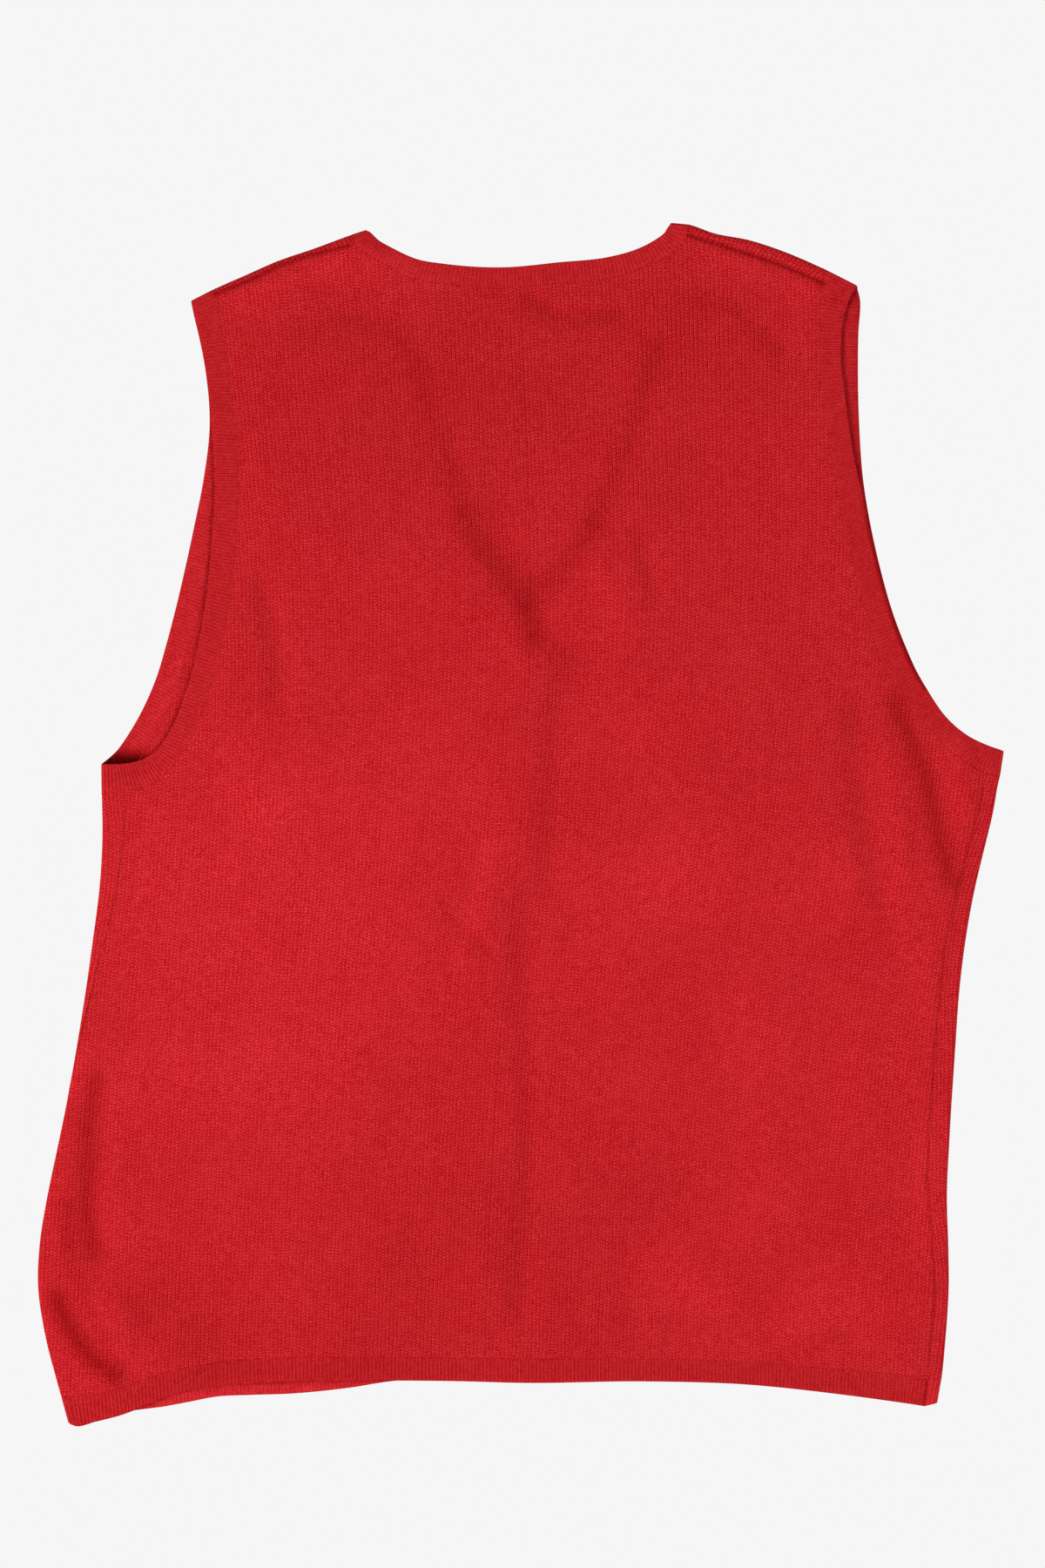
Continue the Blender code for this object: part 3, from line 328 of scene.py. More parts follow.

# Painted shade and painted light where the cloth sinks or stands, along seams and in broad pools:
# half width, share darker (negative) or paler, then x, y.
# Another program fitted the shares and measured about a quarter of the points; they weren't chosen by hand.
PAINTED_SHADE_AND_LIGHT = (
    (7, -0.041, -75, 297, -64, 275, -53, 242, -42, 211, -36, 190),
    (7.5, -0.15, -36, 184, -25, 163, -10, 145, 1, 128, 8, 112), (8, -0.083, 8, 110, 20, 102, 32, 98),
    (7.5, -0.096, 80, 283, 74, 262, 65, 232, 54, 204, 45, 184),
    (7.5, -0.139, 42, 178, 28, 157, 12, 141, 4, 131), (8, -0.073, 21, 90, 17, 60, 15, 30, 14, 0, 13, -38),
    (7.5, -0.066, -1, -50, -2, -90, 1, -130, 3, -170, 0, -210, -4, -250, -5, -292),
    (6, -0.078, -44, -46, -40, -62, -27, -72),
    (6, -0.212, 223, 74, 230, 58, 240, 34, 246, 12, 251, -12, 257, -35),
    (6.5, -0.074, 196, 74, 196, 40, 199, 10, 204, -20, 210, -48),
    (6.5, -0.203, -255, -152, -258, -176, -259, -206, -260, -234, -256, -254),
    (5.5, -0.325, -278, -284, -269, -303, -257, -319, -242, -330), (5.5, -0.103, -235, -283, -224, -295),
    (6.5, -0.081, -157, 143, -154, 119, -149, 98, -149, 74), (6, -0.079, 69, 174, 72, 153, 77, 134),
    (8, -0.032, -127, 295, -104, 301, -82, 300), (6, -0.122, 104, 314, 123, 310, 139, 296, 152, 284),
    (5, -0.117, 5, 312, 20, 304, 40, 302, 54, 304),
    (2.5, -0.054, 196, -303, 181, -309, 163, -317, 147, -324, 131, -328), (6, -0.143, -100, 352, -84, 346),
    (1, -0.154, 275.4, 20, 271, 0.5, 265.6, -19.5, 260.3, -40, 255.7, -60, 252.3, -81, 249.7, -102, 247.8, -123,
     246.2, -144, 244.6, -164, 243.4, -185, 242.3, -206, 243, -227, 245.2, -248, 246.4, -269, 246, -289, 244.4,
     -309, 242.5, -329, 241.2, -344),
    (0.9, -0.052, -237.2, 17, -237.5, -4, -239.8, -26, -243.3, -47, -248, -67, -253.5, -87, -258.2, -107.5, -263,
     -128),
    (1, -0.42, 203.4, 206, 206.2, 188, 208.2, 176, 210.8, 164, 213.6, 152, 217, 140, 220.8, 128, 224.3, 116,
     229.4, 104, 234.7, 92, 241.5, 80),
    (1.3, -0.397, *LEFT_LINE),
    (2.2, -0.109, -186, 319, -161, 329, -139, 338, -118, 345, -101, 349),
    (1.4, -0.373, *RIGHT_LINE),
    (2.5, -0.132, 100, 357, 116, 352, 136, 348, 157, 341, 180, 331),
    (5, 0.12, -169, 312, -139, 324, -107, 335), (5, 0.095, 104, 342, 120, 337, 139, 331, 159, 324, 173, 317),
    (6, 0.056, 168, 318, 169, 302, 166, 284), (7, 0.074, 257, 48, 259, 26, 264, 6),
    (7, 0.062, 213, 40, 220, 14, 223, -10, 224, -40), (8, -0.159, -268, -262, -259, -283, -248, -301),
    (9, 0.056, 45, 152, 53, 132, 63, 114), (7, 0.068, -20, -10, -23, -34, -26, -57, -34, -76),
    (70, 0.093, -190, -40, -150, -60, -110, -60), (45, 0.058, -190, -150, -150, -140, -100, -120),
    (22, 0.064, -162, 50, -160, 30, -154, 10), (60, -0.09, -60, 290, 0, 270, 60, 290),
    (55, -0.067, -80, -290, -40, -240, 40, -260), (14, 0.123, 85, -258, 94, -276, 113, -281),
    (30, 0.105, 90, -30, 120, -30, 180, -40), (24, 0.057, 140, -190, 146, -220, 134, -244),
    (20, 0.085, 210, -290, 190, -280, 160, -296), (16, 0.111, -100, 330, -80, 326, -60, 316),
    (26, -0.108, -216, -284, -200, -300, -190, -316),
    (13, -0.036, -200, -308, -120, -306, -30, -306, 60, -306), (16, 0.07, 232, -40, 236, -110, 236, -180),
    (22, 0.058, 44, -40, 50, -70, 46, -100), (14, 0.066, -30, 24, -20, 8, -16, -6),
    (24, -0.066, 140, -30, 160, -34), (26, -0.042, -130, -100, -90, -100, -70, -150),
    (40, -0.052, -150, 280, -140, 230, -60, 210), (26, -0.055, 90, 290, 110, 280, 150, 270),
    (12, 0.017, 140, 216, 152, 206), (24, 0.054, 200, -130, 190, -180), (20, -0.027, -240, -60, -236, -120),
    (30, 0.048, -120, 20, -80, 0, -60, 60), (24, 0.049, 30, 290, 50, 280), (30, -0.02, 100, 180, 140, 160),
    (9, -0.083, -24, 186, -12, 166, 2, 148), (5, -0.182, -272, -226, -270, -250),
    (6, 0.097, -262, -134, -264, -160), (7, 0.156, -254, -286, -246, -298), (8, 0.061, -160, 304, -140, 306),
    (20, 0.083, 130, -110, 140, -140), (12, 0.099, 240, -200, 240, -250), (20, 0.051, 60, 60, 80, 50),
    (14, -0.031, -170, 130, -160, 100, -176, 60), (14, -0.062, 100, 220, 70, 200, 90, 190),
)

# Painted shadow and painted light in the same way inside the openings, on the inner side of the bottom layer.
INSIDE_PAINTED_SHADOW_AND_LIGHT = (
    (5, -0.75, -249, 38, -238, 38, -228, 38), (9, -0.2, 203, 320, 203, 290, 203, 250, 206, 210, 210, 180),
    (4, 0.06, -204, 100, -216, 68, -226, 52),
)

# Painted shade of each rib band, darker than the panels: on the top layer, and below.
BAND_PAINTED_SHADE = {
    "armhole_band_left_cloth": (-0.13, -0.07), "armhole_band_right_cloth": (-0.14, -0.03),
    "neckband_cloth": (-0.07, -0.05), "hem_rib_back_cloth": (-0.15, -0.10),
}

# Heights where the armhole seams have turned upwards: left and right.
BACK_CORNERS = (38, 55)
FRONT_CORNERS = (44, 52)

# Wales: how far they lean to the right for each millimetre up, at x = -LEAN_REACH, 0 and LEAN_REACH,
# at the heights LEAN_Y.
LEAN_REACH = 200.0
LEAN_Y = (-340, -200, -50, 100, 200, 340)
LEAN = (
    (0.03, 0.02, 0.03), (0.06, 0.05, 0.1), (0.09, 0.11, 0.16), (0, 0.03, 0.09), (-0.09, -0.04, 0),
    (-0.09, -0.04, 0),
)

# Slow swells of the top layer: wave length, direction in degrees, phase, height.
SWELLS = (
    (83, 12, 0.4, 0.16), (57, 71, 1.9, 0.12), (118, 141, 3.1, 0.2), (41, 38, 5.2, 0.07), (66, 108, 2.6, 0.12),
    (33, 163, 0.9, 0.05),
)


# ---- curves
def smooth_rows(rows):
    """Cubic through the rows, tangents averaged from the neighbouring chords."""
    p = np.array(rows, dtype=float)
    h = np.linalg.norm(np.diff((p[:, :2] + p[:, -2:]) / 2, axis=0), axis=1)[:, None]
    slope = np.diff(p, axis=0) / h
    inner = (slope[:-1] * h[1:] + slope[1:] * h[:-1]) / (h[:-1] + h[1:])
    tangent = np.vstack((slope[:1], inner, slope[-1:]))
    start, stop, leave, arrive = (v[:, None] for v in (p[:-1], p[1:], tangent[:-1] * h, tangent[1:] * h))
    t = np.linspace(0, 1, SPLINE_STEPS, endpoint=False)[:, None]
    curve = (1 + 2 * t) * (1 - t) ** 2 * start + t * (1 - t) ** 2 * leave
    curve = curve + t ** 2 * (3 - 2 * t) * stop + t ** 2 * (t - 1) * arrive
    return np.vstack((curve.reshape(-1, p.shape[1]), p[-1:]))


def lengths(points):
    """Running length along a polyline."""
    return np.concatenate(([0.0], np.cumsum(np.linalg.norm(np.diff(points, axis=0), axis=1))))


def at_run(points, run, wanted):
    """Every column of a table interpolated at the wanted running lengths."""
    return np.stack([np.interp(wanted, run, column) for column in points.T], axis=-1)


def along(points, shares):
    """Points of a polyline at shares of its length."""
    run = lengths(points)
    return at_run(points, run, shares * run[-1])


def resample(points, count):
    """The same polyline in a number of equal steps."""
    return along(points, np.linspace(0, 1, count))


def even(points, pitch):
    """A polyline in equal steps of about one pitch."""
    return resample(points, max(2, round(lengths(points)[-1] / pitch) + 1))


def join_lines(*lines):
    """Polylines end to end, the shared points kept once."""
    return np.vstack([lines[0]] + [line[1:] for line in lines[1:]])


def graded(total, near, growth, most):
    """Shares from 0 to 1 whose steps grow from near up to most over a length."""
    steps = [near]
    while sum(steps) < total:
        steps.append(min(steps[-1] * growth, most))
    return np.concatenate(([0.0], np.cumsum(steps))) / sum(steps)


def both_ends(total, near, growth, most):
    """Shares from 0 to 1 with small steps at both ends."""
    half = graded(total / 2, near, growth, most) / 2
    return np.concatenate((half, 1 - half[-2::-1]))


def smoothstep(x):
    """Smooth ramp from 0 to 1."""
    c = np.clip(x, 0.0, 1.0)
    return c * c * (3 - 2 * c)


def unit(v):
    """Vectors scaled to length one."""
    return v / np.maximum(np.linalg.norm(v, axis=-1, keepdims=True), 1e-12)


def inward_of(line):
    """Directions to the left of a plan polyline."""
    ahead = np.gradient(line, axis=0)
    return unit(np.stack((-ahead[:, 1], ahead[:, 0]), axis=-1))


def nearest(q, line, open_ends=False):
    """Signed distance to a polyline, positive to its left, and the running length of the foot."""
    step = np.diff(line, axis=0)
    run = lengths(line)
    size = np.diff(run)
    low = np.zeros(len(size))
    high = np.ones(len(size))
    if open_ends:
        low[0], high[-1] = -np.inf, np.inf
    found = []
    for part in np.array_split(q, max(1, len(q) * len(size) // PAIRS_AT_ONCE)):
        rel = part[:, None] - line[:-1]
        t = np.clip((rel * step).sum(2) / size ** 2, low, high)
        off = rel - t[..., None] * step
        best = (off * off).sum(2).argmin(1)
        pick = np.arange(len(part)), best
        off = off[pick]
        side = step[best, 0] * off[:, 1] - step[best, 1] * off[:, 0]
        near = np.linalg.norm(off, axis=1) * np.where(side < 0, -1.0, 1.0)
        found.append((near, run[best] + t[pick] * size[best]))
    return np.concatenate(found, axis=1)


def part_of(line, first, last):
    """The stretch of a dense polyline between the points nearest to two given ones."""
    run = lengths(line)
    r = nearest(np.array((first, last)), line)[1]
    inner = line[(run > min(r) + 1e-6) & (run < max(r) - 1e-6)]
    return np.vstack((first, inner if r[0] < r[1] else inner[::-1], last))


def between_sides(low, high, left, right):
    """Surface between four sides: the two blends of facing sides less the blend of the corners."""
    v, u = ((lengths(a) / lengths(a)[-1] + lengths(b) / lengths(b)[-1]) / 2 for a, b in ((left, right), (low, high)))
    v, u = v[:, None, None], u[None, :, None]
    across = (1 - u) * left[:, None] + u * right[:, None]
    up = (1 - v) * low + v * high
    corner = (1 - v) * ((1 - u) * low[0] + u * low[-1]) + v * ((1 - u) * high[0] + u * high[-1])
    return across + up - corner


# ---- folds
class Fold:
    """A fold line of the tube, the apex line of the middle of the cloth, and the seam beside it.

    first and last are the bands that cross it at the seam's two ends, bottom layer first.
    """

    def __init__(self, rows, first, last):
        line = resample(smooth_rows(rows), 120)
        self.line = line + inward_of(line) * HALF
        self.run = lengths(self.line)
        self.inward = inward_of(self.line)
        self.first, self.last = self.crossing(*first), self.crossing(*last)

    def project(self, q):
        """Distance inside the apex line and running length along it."""
        return nearest(q, self.line, open_ends=True)

    def at(self, s):
        """Foot on the apex line and inward direction, straight on beyond the ends."""
        held = np.clip(s, 0, self.run[-1])
        inward = unit(at_run(self.inward, self.run, held))
        ahead = np.stack((inward[..., 1], -inward[..., 0]), axis=-1)
        return at_run(self.line, self.run, held) + ahead * (s - held)[..., None], inward

    def round(self, s, arc):
        """Cloth led round the fold: plan position and turn at an arc, below 0 on the bottom layer,
        up to FOLD_ARC round the half circle, and beyond that on the top layer."""
        foot, inward = self.at(s)
        turn = np.clip(arc / FOLD_RADIUS, 0, math.pi)
        inside = FOLD_RADIUS * (1 - np.sin(turn)) + np.maximum(-arc, 0) + np.maximum(arc - FOLD_ARC, 0)
        return foot + inward * inside[..., None], turn

    def crossing(self, *tables):
        """A band's seam line where it goes round the fold: arcs and running lengths, rising by arc."""
        found = []
        for k, table in enumerate(tables):
            inside, s = self.project(smooth_rows(table)[:, 2:])
            keep = (inside > 0) & (inside < FOLD_NEAR) & (s > -FOLD_BEYOND) & (s < self.run[-1] + FOLD_BEYOND)
            inside = inside[keep]
            bent = FOLD_RADIUS * np.arcsin(np.clip(1 - inside / FOLD_RADIUS, 0, 1))
            arc = bent - np.maximum(inside - FOLD_RADIUS, 0)
            found.append((FOLD_ARC - arc if k else arc, s[keep]))
        found = np.concatenate(found, axis=1)
        return found[:, np.argsort(found[0])]

    def side_seam(self, heights, arcs):
        """Give the fold a side seam: its arcs off the apex by height, averaged under a bell."""
        s = np.linspace(-30, self.run[-1] + 30, 200)
        weight = np.exp(-((s[:, None] - s) / SEAM_BELL) ** 2)
        arc = weight @ np.interp(self.at(s)[0][:, 1], heights, arcs) / weight.sum(1) + FOLD_ARC / 2
        self.arc_of = lambda at: np.interp(at, s, arc)
        self.ends = np.interp(0.0, *self.first), np.interp(0.0, *self.last)

    def shoulder_seam(self, rows):
        """Give the fold a shoulder seam on the top layer: its distances from the fold by share."""
        shares, inset = np.transpose(rows)
        arc = inset - FOLD_RADIUS + FOLD_ARC
        self.ends = start, stop = np.interp(arc[0], *self.first), np.interp(arc[-1], *self.last)
        self.arc_of = lambda at: np.interp((at - start) / (stop - start), shares, arc)

    def strip(self, near, far, shares, rows, top=False):
        """Grid of cloth round the fold: plan positions, turns, and positions unrolled from its
        own layer.  Columns lie at shares of the way from the arc near, or the seam, to far."""
        def arc_at(s):
            start = self.arc_of(s) if near is None else near
            return start + shares * (far - start)

        ends = []
        for arcs, runs in (self.first, self.last):
            s = np.full(len(shares), np.median(runs))
            for _ in range(SETTLING):
                s = np.interp(arc_at(s), arcs, runs)
            ends.append(s)
        s = ends[0] + (ends[1] - ends[0]) * rows[:, None]
        arc = arc_at(s)
        foot, inward = self.at(s)
        gone = FOLD_ARC - arc if top else arc
        return *self.round(s, arc), foot + inward * (FOLD_RADIUS - gone)[..., None]

    def stitches(self):
        """Centres, forward and outward directions of the stitches of its seam; outward is the
        cross product of the steps along and round the fold."""
        s = np.arange(min(self.ends) + STITCH_PITCH, max(self.ends) - STITCH_PITCH, STITCH_PITCH)

        def spot(shift, extra):
            return place(*self.round(s + shift, self.arc_of(s) + extra))

        forward = unit(spot(0.8, 0.0) - spot(-0.8, 0.0))
        outward = unit(np.cross(forward, spot(0.0, 0.4) - spot(0.0, -0.4)))
        return spot(0.0, 0.0) + outward * (HALF - STITCH_SUNK), forward, outward


ARM_LEFT, ARM_RIGHT = (ARM_LEFT_FRONT, ARM_LEFT_BACK), (ARM_RIGHT_FRONT, ARM_RIGHT_BACK)
FOLDS = {
    "side_left": Fold(FOLD_SIDE_LEFT, (HEM_FRONT, HEM_BACK), ARM_LEFT),
    "side_right": Fold(FOLD_SIDE_RIGHT, (HEM_FRONT, HEM_FRONT_WRAP, HEM_BACK), ARM_RIGHT),
    "shoulder_left": Fold(FOLD_SHOULDER_LEFT, ARM_LEFT, (NECK_FRONT_LEFT, NECK_BACK)),
    "shoulder_right": Fold(FOLD_SHOULDER_RIGHT, ARM_RIGHT, (NECK_FRONT_RIGHT, NECK_BACK)),
}
SIDE_LEFT, SIDE_RIGHT, SHOULDER_LEFT, SHOULDER_RIGHT = FOLDS.values()
heights, arcs_left, arcs_right = np.transpose(SIDE_SEAMS[::-1])
SIDE_LEFT.side_seam(heights, arcs_left)
SIDE_RIGHT.side_seam(heights, arcs_right)
SHOULDER_LEFT.shoulder_seam(SHOULDER_LEFT_SEAM)
SHOULDER_RIGHT.shoulder_seam(SHOULDER_RIGHT_SEAM)
FREE_EDGES = [resample(smooth_rows(t)[:, :2], 90) for t in (ARM_LEFT_BACK, ARM_RIGHT_BACK, HEM_BACK, NECK_BACK)]
# Edges of the V of the front, the opening to their left.
V_EDGES = [resample(smooth_rows(t)[:, :2], 60) for t in (NECK_FRONT_LEFT, NECK_FRONT_RIGHT[::-1])]


# ---- heights
def bell_sum(q, table):
    """Sum of creases: each is its height times exp(-(distance to its own curve / half width) squared)."""
    total = np.zeros(len(q))
    for half, height, *points in table:
        line = resample(smooth_rows(np.reshape(points, (-1, 2))), 3 * len(points))
        near = ((q > line.min(0) - 3 * half) & (q < line.max(0) + 3 * half)).all(1)
        total[near] += height * np.exp(-(nearest(q[near], line)[0] / half) ** 2)
    return total


def swell_sum(q):
    """Slow swells of the laid cloth: a few plane waves with unequal lengths and directions."""
    length, angle, phase, height = np.transpose(SWELLS)
    way = np.stack((np.cos(np.radians(angle)), np.sin(np.radians(angle))))
    return np.sin(2 * math.pi * (q @ way) / length + phase) @ height


def edge_distance(q):
    """Distance to the nearest free edge of the top layer."""
    return np.min([np.abs(nearest(q, edge)[0]) for edge in FREE_EDGES], axis=0)


def top_height(q):
    """Height of the middle of the top layer: the bead of the fold, plus creases and swells
    that die out there, less the drop to the free edges and over the V, on a soft floor."""
    d = np.min([np.abs(fold.project(q)[0]) for fold in FOLDS.values()], axis=0)
    z = FOLD_CENTRE + FOLD_RADIUS * np.sqrt(1 - (1 - np.clip(d / FOLD_RADIUS, 0, 1)) ** 2)
    edge = edge_distance(q)
    opening = smoothstep(np.min([nearest(q, line, True)[0] for line in V_EDGES], axis=0) / OPEN_FADE)
    change = bell_sum(q, CREASES) + swell_sum(q) * smoothstep(edge / OPEN_FADE)
    change = change - EDGE_DROP * (1 - smoothstep(edge / DROP_FADE)) - V_DROP * opening
    change = change + PUFF * smoothstep(np.minimum(d, edge) / PUFF_FADE)
    floor = BAND_FLOOR + (LAYER_FLOOR - BAND_FLOOR) * smoothstep((edge - BAND_WIDTH) / BAND_FADE)
    room = z - floor - (OPEN_FLOOR - floor) * opening
    soft = np.where(change < 0, -room * np.tanh(-change / np.maximum(room, 0.1)), change)
    d = d - FOLD_RADIUS
    return z + smoothstep(d / CREASE_FADE) * soft + smoothstep(d / RELIEF_FADE) * bell_sum(q, SEAM_RELIEF)


def place(xy, turn):
    """Points in space of the middle of the cloth at plan positions and turns."""
    z = np.where(turn <= 0, HALF, FOLD_CENTRE - FOLD_RADIUS * np.cos(turn))
    top = turn >= math.pi - 1e-6
    if top.any():
        z[top] = top_height(xy[top])
    return np.concatenate((xy, z[..., None]), axis=-1)


# ---- meshes
def lean_shift():
    """How far the wales have leaned by each height, 0 at the middle: one row for each x of LEAN."""
    kernel = np.exp(-np.linspace(-2, 2, 9) ** 2)
    rows = []
    for lean in np.transpose(LEAN):
        slope = np.convolve(np.pad(np.interp(LEAN_YS, LEAN_Y, lean), 4, mode="edge"), kernel / kernel.sum(), "valid")
        rows.append(np.cumsum(slope) * (LEAN_YS[1] - LEAN_YS[0]))
    return [row - row[len(row) // 2] for row in rows]


LEAN_YS = np.arange(-420, 421, 10)
LEAN_SHIFT = lean_shift()


def knit_count(flat):
    """Wale and course number of cloth at its flat position; wales lean as the cloth lies."""
    x, y = flat.T
    left, middle, right = (np.interp(y, LEAN_YS, shift) for shift in LEAN_SHIFT)
    shift = left + (middle - left) * smoothstep(x / LEAN_REACH + 1) + (right - middle) * smoothstep(x / LEAN_REACH)
    return np.column_stack(((x - shift) / WALE, y / COURSE))


def grid_faces(ids):
    """Quads of a grid of point numbers."""
    return np.stack((ids[:-1, :-1], ids[:-1, 1:], ids[1:, 1:], ids[1:, :-1]), axis=-1).reshape(-1, 4)


def face_normals(points, faces):
    """Cross product of the two diagonals."""
    p = points[faces]
    return np.cross(p[:, 2] - p[:, 0], p[:, 3] - p[:, 1])


def painted_shade_of(name, points, inner, knit):
    """Painted shade and painted light by point: each band's painted shade and the shade of linked
    rims, plus the painted shade and light of the top layer or, on the inner side of the bottom
    layer, the painted shadow inside openings and under edges above."""
    top = points[:, 2] > FOLD_CENTRE
    # Each band's painted shade, one share on the top layer and one below.
    painted_shade_and_tone = np.where(top, *BAND_PAINTED_SHADE.get(name, (0.0, 0.0)))
    if "hem" not in name:
        linked_rim = points[:, 1] > HEM_TOP if "panel" in name else knit[:, 1] > 1
        painted_shade_and_tone += SEAM_SHADE * np.sin(math.pi * inner) * linked_rim
    # Painted shade and painted light of the top layer, from the table of strokes.
    painted_shade_and_tone[top] += bell_sum(points[top, :2], PAINTED_SHADE_AND_LIGHT)
    # Painted shadow inside the openings and under the free edges above them, with a little painted light.
    low = ~top & (inner > 0.5)
    q = points[low, :2]
    painted_shade_and_tone[low] += bell_sum(q, INSIDE_PAINTED_SHADOW_AND_LIGHT) + EDGE_SHADE * np.exp(-(edge_distance(q) / EDGE_SHADE_HALF) ** 2)
    return np.maximum(painted_shade_and_tone, DEEPEST)


def new_object(name, data):
    """An object at the origin with its data, linked to the scene."""
    made = bpy.data.objects.new(name, data)
    bpy.context.collection.objects.link(made)
    return made


def make_piece(name, points, faces, knit, inner, material, node=None):
    """One smooth mesh in metres, its wale and course numbers as a UV map and its painted shade and painted light by
    point.
    """
    mesh = bpy.data.meshes.new(name)
    mesh.from_pydata(((points - CENTRE) * MM).tolist(), [], faces, shade_flat=False)
    corners = np.empty(len(mesh.loops), dtype=np.int32)
    mesh.loops.foreach_get("vertex_index", corners)
    mesh.uv_layers.new(name="knit").data.foreach_set("uv", knit[corners].astype(np.float32).ravel())
    # Painted shade and painted light by point, which darken or pale the yarn's colour.
    layer = mesh.attributes.new("painted_shade_and_tone", "FLOAT", "POINT")
    layer.data.foreach_set("value", painted_shade_of(name, points, inner, knit).astype(np.float32))
    mesh.validate()
    mesh.materials.append(material)
    piece = new_object(name, mesh)
    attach(piece, "root")
    if node:
        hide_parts(node)
    return piece


# ---- panels
def panel_mesh(blocks):
    """A wall about joined grids: outer side, rounded rim and inner side.

    Each block is (plan positions, turns, flat positions).  The rim is half an
    ellipse round the border, RIM_REACH deep and one wall high.
    """
    xy, flat = (np.vstack([b[k].reshape(-1, 2) for b in blocks]) for k in (0, 2))
    turn = np.concatenate([np.broadcast_to(b[1], b[0].shape[:2]).ravel() for b in blocks])
    key = np.round(np.column_stack((xy, turn)) * 1000).astype(np.int64)
    _, first, index = np.unique(key, axis=0, return_index=True, return_inverse=True)
    turn, knit = turn[first], knit_count(flat[first])
    middle = place(xy[first], turn)
    faces = []
    shapes = [b[0].shape[:2] for b in blocks]
    for shape, ids in zip(shapes, np.split(index.ravel(), np.cumsum(np.prod(shapes, axis=1))[:-1])):
        quads = grid_faces(ids.reshape(shape))
        up = face_normals(middle, quads)[:, 2] * -np.cos(turn[quads].mean(1))
        faces.append(quads if up.sum() > 0 else quads[:, ::-1])
    faces = np.vstack(faces)
    faces = faces[(faces != np.roll(faces, 1, axis=1)).all(1)]
    square = face_normals(middle, faces)
    normal = np.zeros_like(middle)
    np.add.at(normal, faces, square[:, None])
    normal = unit(normal) * HALF
    count = len(middle)
    tail, head = faces.ravel(), np.roll(faces, -1, axis=1).ravel()
    border = ~np.isin(tail * count + head, head * count + tail)
    tail, head = tail[border], head[border]
    outward = np.zeros_like(middle)
    edge_out = unit(np.cross(middle[head] - middle[tail], unit(np.repeat(square, 4, axis=0)[border])))
    np.add.at(outward, np.stack((tail, head)), edge_out)
    rim = np.unique(tail)
    outward = unit(outward[rim])
    middle[rim] -= outward * (RIM_REACH - SEAM_LAP)
    rings = [middle[rim] + outward * RIM_REACH * math.cos(a) + normal[rim] * math.sin(a) for a in RIM_ANGLES]
    ids = np.vstack((rim, 2 * count + np.arange(5 * len(rim)).reshape(5, -1), rim + count))
    tail, head = np.searchsorted(rim, tail), np.searchsorted(rim, head)
    walls = np.stack((ids[:-1, head], ids[:-1, tail], ids[1:, tail], ids[1:, head]), axis=-1)
    shell = np.vstack((faces, faces[:, ::-1] + count, walls.reshape(-1, 4)))
    inner = np.repeat((0, 1, *np.arange(1, 6) / 6), [count] * 2 + [len(rim)] * 5)
    points = np.vstack((middle + normal, middle - normal, *rings))
    return points, shell.tolist(), np.vstack((knit, knit, *[knit[rim]] * 5)), inner


def torso_and_chest(left, right, tables, top_line, corners, pitch, turn):
    """The two middle grids of a panel: hem to underarm, and underarm to shoulders.

    left and right are the inner columns of the side strips, tables those of hem and
    armholes, corners the heights where the armhole seams have turned upwards.
    """
    hem, arm_left, arm_right = (smooth_rows(table)[:, 2:] for table in tables)
    knee_left, knee_right = (arm[np.abs(arm[:, 1] - height).argmin()]
                             for arm, height in zip((arm_left, arm_right), corners))
    level = resample(np.stack((knee_left, knee_right)), len(top_line))
    high = join_lines(even(part_of(arm_left, left[-1], knee_left), pitch * 0.8), level,
                      even(part_of(arm_right, knee_right, right[-1]), pitch * 0.8))
    low = along(part_of(hem, left[0], right[0]), lengths(high) / lengths(high)[-1])
    torso = between_sides(low, high, left, right)
    arm_left = part_of(arm_left, knee_left, top_line[0])
    arm_right = part_of(arm_right, knee_right, top_line[-1])
    rows = both_ends(lengths(arm_left)[-1], *BACK_ROWS[1:3], pitch)
    chest = between_sides(level, top_line, along(arm_left, rows), along(arm_right, rows))
    return [(torso, turn, torso), (chest, turn, chest)]


def back_blocks():
    """Grids of the back: two side strips on the fold, torso and chest."""
    rows = both_ends(*BACK_ROWS)
    left = SIDE_LEFT.strip(None, FOLD_ARC + LEFT_REACH, graded(*LEFT_STRIP), rows, top=True)
    right = SIDE_RIGHT.strip(None, FOLD_ARC + RIGHT_REACH, graded(*RIGHT_STRIP), rows, top=True)
    shoulders = []
    for fold in (SHOULDER_LEFT, SHOULDER_RIGHT):
        s = np.linspace(*fold.ends, 60)
        shoulders.append(fold.round(s, fold.arc_of(s))[0])
    start, stop = shoulders[0], shoulders[1][::-1]
    neck = even(part_of(smooth_rows(NECK_BACK)[:, 2:], start[-1], stop[0]), BACK_PITCH * 0.9)
    top_line = join_lines(even(start, BACK_PITCH), neck, even(stop, BACK_PITCH))
    return [left, right] + torso_and_chest(
        left[0][:, -1], right[0][:, -1], (HEM_BACK, ARM_LEFT_BACK, ARM_RIGHT_BACK), top_line,
        BACK_CORNERS, BACK_PITCH, math.pi)


